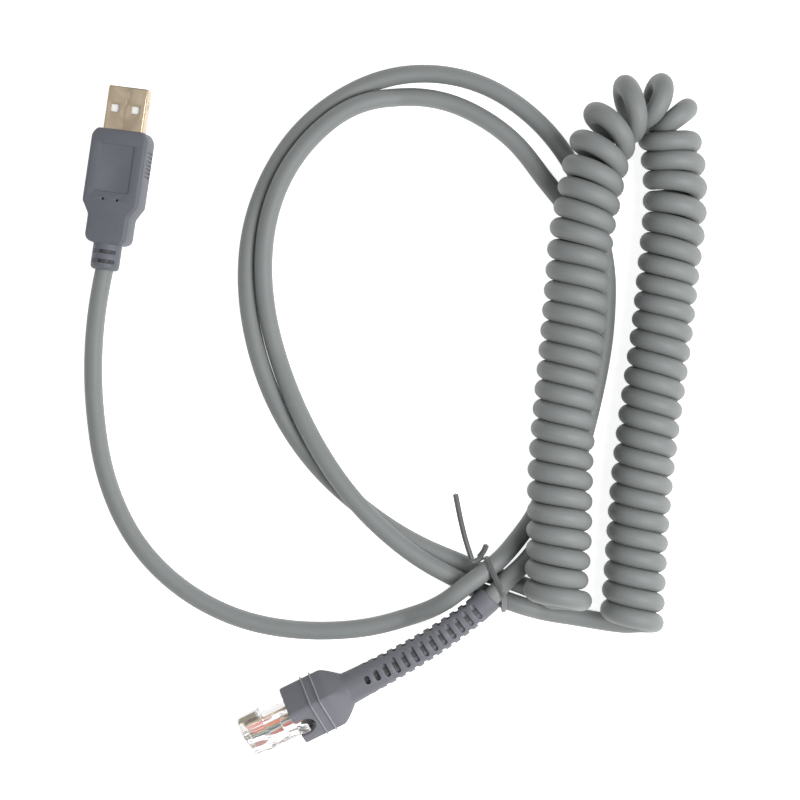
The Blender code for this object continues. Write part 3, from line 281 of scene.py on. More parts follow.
# ---- the coil's centreline ------------------------------------------------------------------------
def coil_centreline():
    """Turn numbers and centreline points of the whole coil, left-handed along its axis."""
    rows = np.array(COIL_AXIS)
    knots, values = rows[:, 0], rows[:, 1:]
    first, last = knots[0], knots[-1]
    turns = np.arange(round(first * TURN_STEPS), round(last * TURN_STEPS) + 1) / TURN_STEPS
    axis = spline_at(knots, values, turns)
    ahead = spline_at(knots, values, np.clip(turns + 0.5, first, last))
    behind = spline_at(knots, values, np.clip(turns - 0.5, first, last))
    tangent = unit(ahead[:, :3] - behind[:, :3])
    side = unit(np.cross(tangent, (0, 0, 1)))
    lean = np.radians(axis[:, 4:5])
    up = np.cos(lean) * np.cross(side, tangent) + np.sin(lean) * tangent
    angle = (math.pi + 2 * math.pi * turns)[:, None]
    points = axis[:, :3] + axis[:, 3:4] * (np.cos(angle) * side + np.sin(angle) * up)
    for start, end in RELAXED:
        points = relax(turns, points, start, end)
    return turns, points


def relax(turns, points, first, last):
    """Moves crowded turns apart until every pair of strands clears."""
    rounds, smoothed_rounds = 600, 540  # the last rounds push without smoothing
    push_share, smooth_share = 0.4, 0.22
    chosen = np.where((turns >= first) & (turns <= last))[0]
    start = points[chosen]
    index, least = np.arange(len(chosen)), CORD_D + RELAX_GAP
    fade = np.clip(np.minimum(index, index[::-1]) / TURN_STEPS, 0, 1)[:, None]
    apart = np.abs(index[:, None] - index[None, :]) > TURN_STEPS // 3
    shift = np.zeros_like(start)
    for i in range(rounds):
        here = start + shift
        gap = here[:, None] - here[None]
        size = np.linalg.norm(gap, axis=2)
        push = np.where(apart & (size < least), least - size, 0.0)
        move = (gap / np.maximum(size, 1e-6)[:, :, None] * push[:, :, None]).sum(axis=1)
        pairs = np.maximum((push > 0).sum(axis=1), 1)[:, None]
        shift += push_share * move / pairs * fade
        if i < smoothed_rounds:
            bend = shift[:-2] + shift[2:] - 2 * shift[1:-1]
            shift[1:-1] = shift[1:-1] + smooth_share * bend
        shift[:, 2] = np.maximum(shift[:, 2], CORD_R + TABLE_GAP - start[:, 2])
    moved = points.copy()
    moved[chosen] = start + shift
    return moved


# ---- the cord's route -----------------------------------------------------------------------------
def eased(need, step):
    """A smooth height line over the needs, built from a line no steeper than SLOPE."""
    along = np.arange(len(need)) * step
    line = (need[None, :] - SLOPE * np.abs(along[:, None] - along[None, :])).max(axis=1)
    half = max(1, round(SMOOTH / 2 / step))
    padded = np.pad(line, half, mode="edge")
    high = np.array([padded[i : i + 2 * half + 1].max() for i in range(len(line))])
    weights = np.hanning(2 * half + 3)[1:-1]
    padded = np.pad(high, half, mode="edge")
    return np.convolve(padded, weights / weights.sum(), mode="valid")


def needs_over(plan, others, radius=CORD_R):
    """Heights that keep plan points clear above other strands' points."""
    floor = np.full(len(plan), CORD_R + TABLE_GAP)
    least = np.reshape(radius, (-1, 1)) + CORD_R + CLEAR
    for other in others:
        gap = np.linalg.norm(plan[:, None, :2] - other[None, :, :2], axis=2)
        rise = np.sqrt(np.maximum(least**2 - gap**2, 0))
        over = np.where(gap < least, other[None, :, 2] + rise, 0)
        floor = np.maximum(floor, over.max(axis=1))
    return floor


def tie_plane():
    """Start of the tie's upright plane in plan, the direction along it and its normal."""
    start, end = np.array(TIE_FROM), np.array(TIE_TO)
    along = unit(end - start)
    return start, along, np.array([along[1], -along[0]])


def tie_floor(plan):
    """Height that lets the tie pass under a strand."""
    side_room, height_room = 1.6, 0.3
    start, along, normal = tie_plane()
    offset = plan[:, :2] - start
    place = offset @ along
    reach = np.linalg.norm(np.array(TIE_TO) - start) + TIE_MARGIN
    inside = (place > -TIE_MARGIN) & (place < reach)
    close = np.abs(offset @ normal) < TIE_R + side_room
    return np.where(inside & close, 2 * TIE_R + CORD_R + height_room, 0)


def ease_to(heights, target, span, step, at_end=True):
    """Blends a height line into a given height at one end."""
    distance = np.arange(len(heights)) * step
    distance = distance[-1] - distance if at_end else distance
    share = smoothstep(1 - distance / span)
    return heights * (1 - share) + target * share


def route_into(control, coil):
    """A plan route that ends on the coil's first point, along the coil's own direction."""
    control = list(control) + [tuple(coil[i][:2]) for i in (0, 3, 5)]
    line = smooth_route(control, ROUTE_STEP / 4)
    last = nearest(line, coil[0][:2])
    return resample(np.vstack([line[:last], coil[:1, :2]]), ROUTE_STEP)


def join_on(route, end, beyond):
    """Turns a route's last sample into the coil's own direction."""
    back = unit(end - beyond)
    return np.vstack([route[:-2], end + 0.9 * back, end])


def boot_heights(plan, boot_end, tails, step):
    """Heights of the modular lead: level in the plug, a ramp through the boot, then the climb."""
    index = np.arange(len(plan))
    radius = np.where(index <= boot_end, RELIEF_R1 + 0.1, CORD_R)
    heights = eased(needs_over(plan, tails, radius), step)
    end_z = max(heights[boot_end], BOOT_END_Z)
    ramp = np.clip((index - NECK_END) / (boot_end - NECK_END), 0, 1)
    in_boot = BOOT_Z + (end_z - BOOT_Z) * ramp
    past = np.clip((index - boot_end) / 4.0, 0, 1)
    return np.where(index <= boot_end, in_boot, np.maximum(heights, end_z * (1 - past)))


def routes():
    """The coil's turn numbers and centreline, and the centrelines of the two cords to it."""
    turns, coil = coil_centreline()
    left_foot, right_foot = coil[0], coil[-1]
    usb_plan = route_into(USB_LEAD + USB_JOIN + INNER_LOOP, coil[::-1])
    modular_plan = route_into(BOOT_AXIS + MODULAR_JOIN + OUTER_LOOP, coil)
    usb_step = lengths(usb_plan)[1]
    modular_step = lengths(modular_plan)[1]
    usb_split = nearest(usb_plan, INNER_LOOP[0])
    modular_split = nearest(modular_plan, OUTER_LOOP[0])
    boot_end = nearest(modular_plan, BOOT_AXIS[-1])

    outer = modular_plan[modular_split:]
    heights = eased(np.maximum(CORD_R + TABLE_GAP, tie_floor(outer)), modular_step)
    heights = ease_to(heights, left_foot[2], RISE_LENGTH, modular_step)
    outer = join_on(np.column_stack([outer, heights]), left_foot, coil[1])
    level = outer[: -round(RISE_LENGTH / modular_step)]

    inner = usb_plan[usb_split:]
    heights = eased(np.maximum(needs_over(inner, [level]), tie_floor(inner)), usb_step)
    heights = ease_to(heights, right_foot[2], INNER_RISE, usb_step)
    inner = join_on(np.column_stack([inner, heights]), right_foot, coil[-2])

    tails = [inner[-90:], level[-80:]]
    lead = usb_plan[:usb_split]
    heights = eased(needs_over(lead, tails), usb_step)
    heights = ease_to(heights, USB_AXIS_Z, USB_RISE, usb_step, at_end=False)
    usb = np.vstack([np.column_stack([lead, heights]), inner])

    lead = modular_plan[:modular_split]
    heights = boot_heights(lead, boot_end, tails, modular_step)
    modular = np.vstack([np.column_stack([lead, heights]), outer])
    return turns, coil, usb, modular


# ---- frames and outlines --------------------------------------------------------------------------
class Frame:
    """A local frame in world millimetres."""

    def __init__(self, origin, x, y, z):
        self.origin, self.x, self.y, self.z = (np.asarray(v, float) for v in (origin, x, y, z))

    def __call__(self, x, y, z):
        return self.origin + x * self.x + y * self.y + z * self.z

    def ring(self, y, shape):
        return [self(x, y, z) for x, z in shape]

    def flipped(self):
        """The frame turned half round its y axis."""
        return Frame(self.origin, -self.x, self.y, -self.z)


def usb_frame():
    forward = unit(np.array([*USB_DIRECTION, 0.0]))
    right, up = np.array([forward[1], -forward[0], 0.0]), np.array([0, 0, 1.0])
    cosine, sine = math.cos(USB_ROLL), math.sin(USB_ROLL)
    x, z = cosine * right + sine * up, -sine * right + cosine * up
    return Frame((*USB_END, USB_AXIS_Z), x, forward, z)


def boot_frame(route, distance):
    """The boot's frame at a distance behind its rim, with the unrolled right and up."""
    places = [distance, distance + 0.5, max(distance - 0.5, 0)]
    here, behind, ahead = at_length(route, places)
    forward = -unit(behind - ahead)
    right = unit(np.cross(forward, (0, 0, 1)))
    up = np.cross(right, forward)
    # the latch face leans over to the left, looking forwards
    z = math.cos(BOOT_ROLL) * up - math.sin(BOOT_ROLL) * right
    return Frame(here, np.cross(forward, z), forward, z), right, up


def section(half_w, half_h, corner, per_corner=4):
    """A rounded rectangle round the origin, or a circle when all three sizes are equal."""
    outline = []
    for sign_x, sign_y, start in ((1, 1, 0), (-1, 1, 90), (-1, -1, 180), (1, -1, 270)):
        for i in range(per_corner):
            angle = math.radians(start + 90 * (i + 0.5) / per_corner)
            x = sign_x * (half_w - corner) + corner * math.cos(angle)
            y = sign_y * (half_h - corner) + corner * math.sin(angle)
            outline.append((x, y))
    return outline


def rounded(centre_x, centre_y, half_x, half_y, corner, per_corner=4):
    """A rounded rectangle's outline anywhere in a plane."""
    outline = section(half_x, half_y, corner, per_corner)
    return [(centre_x + x, centre_y + y) for x, y in outline]


def hull(points):
    """Convex hull of plan points, counter-clockwise."""
    points = sorted(set((round(x, 6), round(y, 6)) for x, y in points))

    def turn(first, second, third):
        return (second[0] - first[0]) * (third[1] - first[1]) - (
            second[1] - first[1]
        ) * (third[0] - first[0])

    def half(items):
        chain = []
        for point in items:
            while len(chain) > 1 and turn(chain[-2], chain[-1], point) <= 0:
                chain.pop()
            chain.append(point)
        return chain[:-1]

    return np.array(half(points) + half(points[::-1]))


# ---- solids, as lists of rings ----------------------------------------------------------------------
def circle(centre, across, up, radius, sides):
    angles = [2 * math.pi * (i + 0.5) / sides for i in range(sides)]
    return [centre + radius * (math.cos(a) * across + math.sin(a) * up) for a in angles]


def tube(points, radius, sides):
    """A round tube along a path."""
    tangent = unit(np.gradient(points, axis=0))
    side = unit(np.cross(tangent, (0, 0, 1)))
    up = np.cross(side, tangent)
    return [circle(*place, radius, sides) for place in zip(points, side, up)]


def rod(start, end, radius, sides=24):
    axis = unit(end - start)
    across = unit(np.cross(axis, (0.3, 0.5, 0.81)))
    up = np.cross(axis, across)
    return [circle(centre, across, up, radius, sides) for centre in (start, end)]


def prism(frame, outline, bottom, top, grow=0.0):
    """An upright prism on an outline in a frame's x, y, widening by grow at the top."""
    centre = np.mean(outline, axis=0)
    rings = []
    for z, wider in ((bottom, 0.0), (top, grow)):
        ring = []
        for x, y in outline:
            out = unit(np.array([x - centre[0], y - centre[1]]))
            ring.append(frame(x + wider * out[0], y + wider * out[1], z))
        rings.append(ring)
    return rings


def block(frame, centre, size, corner=0.01):
    (x, y, z), (size_x, size_y, size_z) = centre, size
    outline = rounded(x, y, size_x / 2, size_y / 2, corner)
    return prism(frame, outline, z - size_z / 2, z + size_z / 2)


# ---- meshes ---------------------------------------------------------------------------------------
LIVE = []  # cutting tools that wait to be dropped


def to_mesh(name, verts, faces, sharp=35.0):
    """A mesh from world millimetres, shaded smooth except at edges over the sharp angle."""
    data = bpy.data.meshes.new(name)
    data.from_pydata(((np.asarray(verts, float) + CENTRE) * MM).tolist(), [], faces)
    work = bmesh.new()
    work.from_mesh(data)
    bmesh.ops.recalc_face_normals(work, faces=work.faces)
    work.to_mesh(data)
    work.free()
    data.polygons.foreach_set("use_smooth", [True] * len(data.polygons))
    data.set_sharp_from_angle(angle=math.radians(sharp))
    return data


def wall_faces(rings, sides, base=0, closed=False):
    """Quads between successive rings, and from the last back to the first if closed."""
    faces = []
    for r in range(rings if closed else rings - 1):
        here, there = base + r * sides, base + (r + 1) % rings * sides
        for i in range(sides):
            j = (i + 1) % sides
            faces.append((here + i, here + j, there + j, there + i))
    return faces


def solids_mesh(name, solids, sharp=35.0):
    """Several capped ring lists as one mesh."""
    verts, faces = [], []
    for rings in solids:
        base, sides = len(verts), len(rings[0])
        verts += [point for ring in rings for point in ring]
        faces.append(tuple(base + i for i in range(sides))[::-1])
        faces.append(tuple(len(verts) - sides + i for i in range(sides)))
        faces += wall_faces(len(rings), sides, base)
    return to_mesh(name, verts, faces, sharp)


def hoop_mesh(name, rings, sharp=35.0):
    """A ring list closed on itself."""
    verts = [point for ring in rings for point in ring]
    return to_mesh(name, verts, wall_faces(len(rings), len(rings[0]), closed=True), sharp)


def add(name, data, mat):
    obj = bpy.data.objects.new(name, data)
    bpy.context.scene.collection.objects.link(obj)
    obj.data.materials.append(mat)
    return obj


def add_solid(name, rings, mat, sharp=35.0):
    return add(name, solids_mesh(name, [rings], sharp), mat)


def cut(obj, name, *solids):
    """Subtracts solids from an object when it is settled."""
    tool = bpy.data.objects.new(name, solids_mesh(name, solids))
    bpy.context.scene.collection.objects.link(tool)
    tool.hide_render = True
    mod = obj.modifiers.new(name, "BOOLEAN")
    mod.operation = "DIFFERENCE"
    mod.solver = "EXACT"
    mod.object = tool
    LIVE.append(tool)


def settle(obj, edge, angle=38.0):
    """Applies the cuts, softens the edges they leave, and drops the tools."""
    mod = obj.modifiers.new("edge", "BEVEL")
    mod.width = edge * MM
    mod.segments = 2
    mod.limit_method = "ANGLE"
    mod.angle_limit = math.radians(angle)
    mod.miter_outer = "MITER_ARC"
    graph = bpy.context.evaluated_depsgraph_get()
    fresh = bpy.data.meshes.new_from_object(obj.evaluated_get(graph))
    obj.modifiers.clear()
    old = obj.data
    obj.data = fresh
    fresh.name = obj.name
    bpy.data.meshes.remove(old)
    fresh.polygons.foreach_set("use_smooth", [True] * len(fresh.polygons))
    fresh.set_sharp_from_angle(angle=math.radians(50))
    while LIVE:
        bpy.data.objects.remove(LIVE.pop(), do_unlink=True)


def stand_in(obj, node, part):
    """Replaces a CAD node by an object that rides on a part."""
    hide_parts(node)
    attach(obj, part)


def strand(name, points, side, up, along, radius, mat, sides=20, cap_start=False, cap_end=False):
    """A round cord over part of a curve. It keeps each point's length along the cord as data."""
    angle = 2 * np.pi * (np.arange(sides) + 0.5) / sides
    cosine, sine = np.cos(angle), np.sin(angle)
    ring = cosine[None, :, None] * side[:, None] + sine[None, :, None] * up[:, None]
    verts = (points[:, None] + radius[:, None, None] * ring).reshape(-1, 3)
    count = len(points)
    faces = wall_faces(count, sides)
    if cap_start:
        faces.append(list(range(sides))[::-1])
    if cap_end:
        faces.append([(count - 1) * sides + i for i in range(sides)])
    data = to_mesh(name, verts, faces, 60.0)
    grain = np.zeros((count, sides, 3), np.float32)
    grain[:, :, 0] = along[:, None]
    grain[:, :, 1] = cosine[None]
    grain[:, :, 2] = sine[None]
    field = data.attributes.new("strand", "FLOAT_VECTOR", "POINT")
    field.data.foreach_set("vector", grain.reshape(-1))
    obj = add(name, data, mat)
    obj["rings"], obj["sides"] = count, sides
    return obj


# ---- materials ------------------------------------------------------------------------------------
def tone(colour, factor):
    return tuple(min(1.0, c * factor) for c in colour)


class Look:
    """A small builder for one node material."""

    def __init__(self, name):
        self.mat = bpy.data.materials.new(name)
        self.mat.use_nodes = True
        self.tree = self.mat.node_tree
        self.shader = self.tree.nodes["Principled BSDF"]
        self.normal = None

    def node(self, kind, **settings):
        """A node whose settings are its properties or, failing that, its inputs."""
        node = self.tree.nodes.new(kind)
        for key, value in settings.items():
            if hasattr(node, key):
                setattr(node, key, value)
            else:
                node.inputs[key.replace("_", " ")].default_value = value
        return node

    def link(self, output, socket):
        self.tree.links.new(output, socket)

    def feed(self, value, socket):
        """Sets a socket to a number or a colour, or links it."""
        if isinstance(value, (int, float)):
            socket.default_value = value
        elif isinstance(value, tuple):
            socket.default_value = (*value, 1.0)
        else:
            self.link(value, socket)

    def strand_place(self):
        return self.node("ShaderNodeAttribute", attribute_name="strand").outputs["Vector"]

    def place(self, along=1, across=None, on_strand=False):
        """Millimetre coordinates, or the strand's own, scaled along x and across it."""
        across = along if across is None else across
        if on_strand:
            source, unit_scale = self.strand_place(), 1.0
        else:
            source, unit_scale = self.node("ShaderNodeTexCoord").outputs["Object"], 1000.0
        mapping = self.node("ShaderNodeMapping")
        scale = tuple(unit_scale * c for c in (along, across, across))
        mapping.inputs["Scale"].default_value = scale
        self.link(source, mapping.inputs["Vector"])
        return mapping.outputs["Vector"]

    def noise(self, vector, scale=1.0, detail=4.0, rough=0.55):
        node = self.node("ShaderNodeTexNoise", Scale=scale, Detail=detail, Roughness=rough)
        self.link(vector, node.inputs["Vector"])
        return node.outputs["Fac"]

    def ramp(self, value, at, low, high):
        """Colour that runs from low to high between two places."""
        node = self.node("ShaderNodeValToRGB")
        for element, place, colour in zip(node.color_ramp.elements, at, (low, high)):
            element.position = place
            element.color = (*colour, 1.0)
        self.link(value, node.inputs["Fac"])
        return node.outputs["Color"]

    def shades(self, value, at, colour, low, high):
        """A ramp between two tones of one colour."""
        return self.ramp(value, at, tone(colour, low), tone(colour, high))

    def mask(self, value, at):
        return self.ramp(value, at, (0, 0, 0), (1, 1, 1))

    def span(self, value, low, high):
        node = self.node("ShaderNodeMapRange")
        node.inputs["To Min"].default_value = low
        node.inputs["To Max"].default_value = high
        self.link(value, node.inputs["Value"])
        return node.outputs["Result"]

    def mix(self, factor, base, over):
        """Colour mix; a colour node's factor, A and B sockets are numbers 0, 6 and 7."""
        node = self.node("ShaderNodeMix", data_type="RGBA")
        for value, i in ((factor, 0), (base, 6), (over, 7)):
            self.feed(value, node.inputs[i])
        return node.outputs[2]

    def bump(self, height, strength, distance):
        """Adds relief on top of any earlier one; distance is in millimetres."""
        node = self.node("ShaderNodeBump", Strength=strength, Distance=distance * MM)
        self.link(height, node.inputs["Height"])
        if self.normal is not None:
            self.link(self.normal, node.inputs["Normal"])
        self.normal = node.outputs["Normal"]
        self.link(self.normal, self.shader.inputs["Normal"])

    def set(self, **values):
        for key, value in values.items():
            self.feed(value, self.shader.inputs[key.replace("_", " ")])
        return self.mat


def moulded(name, colour, grain=0.22, rough=(0.5, 0.66), edge=0.35, spread=0.07):
    """Moulded soft PVC: fine spark texture, faint flow marks, edges rubbed paler."""
    look = Look(name)
    here = look.place()
    flow = look.noise(look.place(0.10), detail=3.0)
    base = look.shades(flow, (0.30, 0.70), colour, low=1 - spread, high=1 + spread)
    fine = look.noise(here, scale=3.2, detail=2.0)
    speck = look.shades(fine, (0.44, 0.60), colour, low=0.94, high=1.05)
    base = look.mix(0.35, base, speck)
    rub = look.node("ShaderNodeNewGeometry").outputs["Pointiness"]
    worn = look.mask(look.span(rub, low=0.0, high=1.0), (0.505, 0.56))
    broken = look.mix(look.noise(look.place(0.6)), (0.0, 0.0, 0.0), worn)
    base = look.mix(broken, base, look.mix(edge, base, tone(colour, 1.6)))
    look.bump(look.noise(here, scale=5.5, detail=3.0, rough=0.6), strength=grain, distance=0.05)
    look.bump(look.noise(look.place(0.35), detail=2.0), strength=0.12, distance=0.08)
    gloss = look.span(look.noise(here, scale=1.4), *rough)
    return look.set(Base_Color=base, Roughness=gloss, Specular_IOR_Level=0.38)


def cord_look(name, colour, hidden=None):
    """Extruded PVC jacket: draw lines along the cord, a satin bloom and small pits. Inside a moulding
    it is darkened with painted shade, which grows from the first hidden length to the second."""
    look = Look(name)
    here = look.place()
    drawn_place = look.place(along=0.012, across=2.6, on_strand=True)
    lines = look.noise(drawn_place, scale=2.2, detail=5.0, rough=0.6)
    patches = look.noise(look.place(along=0.05, across=0.35, on_strand=True), detail=3.0)
    base = look.shades(patches, (0.28, 0.72), colour, low=0.93, high=1.07)
    drawn = look.shades(lines, (0.35, 0.65), colour, low=0.90, high=1.10)
    base = look.mix(0.30, base, drawn)
    dust = look.mask(look.noise(here, scale=1.7, detail=6.0, rough=0.7), (0.66, 0.80))
    base = look.mix(look.mix(0.18, (0.0, 0.0, 0.0), dust), base, tone(colour, 1.35))
    if hidden:
        # painted shade: the cord is made darker where it lies inside a moulding and is seen through
        # its slots
        split = look.node("ShaderNodeSeparateXYZ")
        look.link(look.strand_place(), split.inputs["Vector"])
        stain_and_painted_shade = look.node("ShaderNodeMapRange", From_Min=hidden[0], From_Max=hidden[1])
        look.link(split.outputs["X"], stain_and_painted_shade.inputs["Value"])
        base = look.mix(stain_and_painted_shade.outputs["Result"], base, tone(colour, 0.42))
    look.bump(lines, strength=0.10, distance=0.05)
    look.bump(look.noise(here, scale=4.0, detail=3.0, rough=0.6), strength=0.14, distance=0.035)
    bloom = look.noise(look.place(along=0.03, across=1.2, on_strand=True), scale=1.6)
    return look.set(
        Base_Color=base, Roughness=look.span(bloom, low=0.48, high=0.64),
        Specular_IOR_Level=0.34, Sheen_Weight=0.06, Sheen_Roughness=0.4,
    )


def metal_look(name, colour, rough, tint=0.10):
    """Rolled, plated sheet: grain one way, fine scratches and slight stains."""
    look = Look(name)
    drawn = look.noise(look.place(along=0.4, across=9.0), detail=5.0, rough=0.65)
    stain_and_painted_shade = look.noise(look.place(0.28), detail=3.0)
    base = look.shades(stain_and_painted_shade, (0.3, 0.7), colour, low=1 - tint, high=1 + tint)
    base = look.mix(0.35, base, look.shades(drawn, (0.3, 0.7), colour, low=0.82, high=1.12))
    look.bump(drawn, strength=0.25, distance=0.012)
    look.bump(look.noise(look.place(1.3), detail=2.0), strength=0.06, distance=0.02)
    return look.set(Base_Color=base, Metallic=1.0, Roughness=look.span(drawn, *rough))


def clear_look(name, colour):
    """Injection-moulded clear plastic: slight haze, flow lines and ripples."""
    look = Look(name)
    haze = look.noise(look.place(0.45))
    look.bump(look.noise(look.place(0.7), detail=3.0), strength=0.08, distance=0.05)
    base = look.shades(haze, (0.3, 0.7), colour, low=0.96, high=1.0)
    return look.set(
        Base_Color=base, Roughness=look.span(haze, low=0.01, high=0.05),
        IOR=1.28, Transmission_Weight=0.96, Specular_IOR_Level=0.5,
    )


def wire_look(name, colour):
    """Thin glossy insulation with draw lines and a little bleed of colour."""
    look = Look(name)
    mottled = look.noise(look.place(0.9))
    base = look.shades(mottled, (0.32, 0.68), colour, low=0.82, high=1.12)
    look.bump(look.noise(look.place(3.0), detail=3.0), strength=0.12, distance=0.03)
    gloss = look.span(mottled, low=0.28, high=0.42)
    return look.set(Base_Color=base, Roughness=gloss, Specular_IOR_Level=0.5)


def floor_look(name):
    """Matt paper that glows a little, so that it stays bright."""
    look = Look(name)
    cloud = look.noise(look.place(0.004), detail=3.0)
    base = look.ramp(cloud, (0.3, 0.7), low=(0.90, 0.90, 0.90), high=(0.92, 0.92, 0.92))
    return look.set(
        Base_Color=base, Roughness=0.9, Specular_IOR_Level=0.1,
        Emission_Color=base, Emission_Strength=0.84,
    )


CORD_RGB = (0.184, 0.195, 0.193)
BOOT_RGB = (0.128, 0.131, 0.149)
CORD = cord_look("cord_pvc", CORD_RGB)
USB_MOULD = moulded("usb_overmould_pvc", (0.106, 0.111, 0.130))
BOOT_MOULD = moulded("boot_pvc", BOOT_RGB)
# boot colour made paler for the fins' proud faces: a painted highlight where the fins catch the light
FIN_HIGHLIGHT_MOULD = moulded("boot_fin_painted_highlight", tuple(1.9 * c for c in BOOT_RGB), edge=0.5)
TIE = moulded("tie_pvc", (0.105, 0.107, 0.109), grain=0.3, rough=(0.34, 0.5), edge=0.5)
STEEL = metal_look("shell_plate", (0.52, 0.43, 0.315), rough=(0.28, 0.46))
GOLD = metal_look("contact_gold", (0.86, 0.62, 0.24), rough=(0.16, 0.30), tint=0.06)
BRASS = metal_look("contact_flash_gold", (0.66, 0.57, 0.42), rough=(0.25, 0.42), tint=0.08)
TIN = metal_look("tie_steel", (0.55, 0.55, 0.56), rough=(0.3, 0.5))
WHITE = moulded(
    "insulator_white", (0.80, 0.80, 0.78), grain=0.1, rough=(0.32, 0.45), edge=0.1, spread=0.02
)
CLEAR_PLASTIC = clear_look("clear_plastic", (0.97, 0.975, 0.97))
WIRES_RGB = (
    (0.80, 0.16, 0.13), (0.80, 0.10, 0.08), (0.86, 0.82, 0.78), (0.02, 0.02, 0.02),
    (0.26, 0.42, 0.30), (0.84, 0.20, 0.06), (0.82, 0.12, 0.10), (0.80, 0.62, 0.44),
)
USB_RGB = ((0.6, 0.03, 0.03), (0.82, 0.82, 0.80), (0.08, 0.36, 0.12), (0.02, 0.02, 0.02))


# ---- the cord -------------------------------------------------------------------------------------
class Cord:
    """The whole cord, from inside the USB plug to inside the modular plug."""

    def __init__(self, coil, usb, modular):
        forward = unit(np.array([*USB_DIRECTION, 0.0]))
        stub = np.array([[*USB_END, USB_AXIS_Z] + forward * y for y in (13.0, 9.0, 5.0, 2.0)])
        whole = np.vstack([stub, usb, coil[::-1][1:], modular[::-1][1:]])
        apart = np.linalg.norm(np.diff(whole, axis=0), axis=1) > 0.05
        self.line = hermite(whole[np.concatenate([[True], apart])], STEP)
        self.along = lengths(self.line)
        self.side, self.up = carried_frames(self.line)
        self.right_foot = self.near(coil[-1], 500)
        self.left_foot = self.near(coil[0], 1500)
        self.radius = self.swollen()

    def near(self, point, low=0.0, high=1e9):
        """Index of the sample nearest to a point, between two lengths."""
        gap = np.linalg.norm(self.line - np.asarray(point), axis=1)
        gap[(self.along < low) | (self.along > high)] = 1e9
        return int(np.argmin(gap))

    def swollen(self):
        """Radius at each sample; the coiled run fills the room between its turns."""
        along, line = self.along, self.line
        right, left = along[self.right_foot], along[self.left_foot]
        in_coil = smoothstep(along, right - 6.0, right + 12.0) - smoothstep(
            along, left - 12.0, left + 6.0
        )
        radius = CORD_R + COIL_SWELL * in_coil
        inset = round(6 / STEP)
        first, last = self.right_foot + inset, self.left_foot - inset
        core = line[first:last]
        room = np.full(len(core), 9.0)
        near_by, far_by = round(30 / STEP), round(66 / STEP)  # window that holds the next turn
        for k in range(len(core)):
            for start, end in ((k - far_by, k - near_by), (k + near_by, k + far_by)):
                start, end = max(start, 0), min(end, len(core))
                if start < end:
                    gap = np.linalg.norm(core[start:end] - core[k], axis=1).min()
                    room[k] = min(room[k], float(gap))
        room = np.clip(room / 2 - 0.02, CORD_R, CORD_R + 0.34)
        room = np.convolve(np.pad(room, 6, mode="edge"), np.ones(13) / 13, mode="valid")
        radius[first:last] = CORD_R + (room - CORD_R) * in_coil[first:last]
        return radius

    def anchors(self, i):
        """World points, in metres, just before and after a sample."""
        return [tuple((self.line[k] + CENTRE) * MM) for k in (i - 4, i + 4)]

    def piece(self, name, first, last, mat, nodes, parts, anchors, weights, **caps):
        """A piece of the cord over a run of samples, in place of the CAD nodes it hides."""
        run = slice(first, last + 1)
        along = self.along[run] - self.along[first]
        obj = strand(
            name, self.line[run], self.side[run], self.up[run], along, self.radius[run], mat, **caps
        )
        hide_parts(*nodes)
        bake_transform(obj)


def build_cord(turns, coil, usb, modular):
    cord = Cord(coil, usb, modular)
    along, right_foot, left_foot = cord.along, cord.right_foot, cord.left_foot
    past_coil = along[left_foot] + 100

    usb_flex = cord.near(at_length(usb, [FLEX_BELOW_COLLAR])[0], 0, 60)
    upper, lower = (at_length(usb, [nearest_length(usb, xy)])[0] for xy in LEAD_HINGES)
    upper, lower = cord.near(upper, 40, 200), cord.near(lower, 100, 260)

    def at_turn(turn):
        return cord.near(at_length(coil, [np.interp(turn, turns, lengths(coil))])[0], 500)

    def on_modular(distance):
        return cord.near(at_length(modular, [distance])[0], past_coil)

    boot_length = float(nearest_length(modular, BOOT_AXIS[-1]))
    boot_flex = on_modular(boot_length + FLEX_BELOW_COLLAR)
    ends = [
        0, (usb_flex + upper) // 2, (upper + lower) // 2, lower + round(26 / STEP),
        boot_flex - round(9 / STEP), on_modular(STUB_START),
    ]

    collar = along[cord.near(usb[0], 0, 40)]
    # the stub inside the plug's collar gets painted shade, darker towards the plug
    mat = cord_look("cord_pvc_usb", CORD_RGB, (collar - 0.1, collar - 0.6))
    # name, part it leaves, part it reaches, flex sample, blend before and after it, node, material
    lead = (
        ("cord_usb_end", "usb_plug", "lead_upper", usb_flex,
         FLEX_BELOW_COLLAR + 0.3, 13.0, "cord_usb_stub", mat),
        ("cord_lead_upper", "lead_upper", "lead_lower", upper,
         22.0, 22.0, "cord_usb_lead_upper", CORD),
        ("cord_lead_lower", "lead_lower", "bundle", lower,
         22.0, 22.0, "cord_usb_lead_lower", CORD),
    )
    for k, (name, leaves, reaches, flex, before, after, node, mat) in enumerate(lead):
        weights = smoothstep(along, along[flex] - before, along[flex] + after)
        cord.piece(
            name, ends[k], ends[k + 1], mat, (node,), (leaves, reaches),
            cord.anchors(flex), weights, cap_start=k == 0,
        )

    coil_nodes = [f"coil_{side}_{i}" for side in ("left", "right") for i in range(1, 5)]
    right, left = along[right_foot], along[left_foot]
    rise = np.clip((along - right) / (along[at_turn(RIGHT_TOP)] - right), 0, 1)
    fall = np.clip((left - along) / (left - along[at_turn(LEFT_TOP)]), 0, 1)
    cord.piece(
        "cord_loops_and_coil", ends[3], ends[4], CORD,
        ("cord_inner_loop", "cord_outer_loop", "coil_bend", *coil_nodes),
        ("bundle", "coil_bend"), ((0.06, 0.0, 0.01), (0.06, 0.07, 0.01)), np.minimum(rise, fall),
    )

    mouth = along[on_modular(boot_length)] - along[ends[4]]
    flex = along[boot_flex]
    # the end inside the boot gets painted shade from just past the boot's mouth
    cord.piece(
        "cord_modular_end", ends[4], ends[5],
        cord_look("cord_pvc_boot", CORD_RGB, (mouth + 0.1, mouth + 0.6)),
        ("cord_modular_stub",), ("bundle", "modular_plug"), cord.anchors(boot_flex),
        smoothstep(along, flex - 8.0, flex + FLEX_BELOW_COLLAR), cap_end=True,
    )


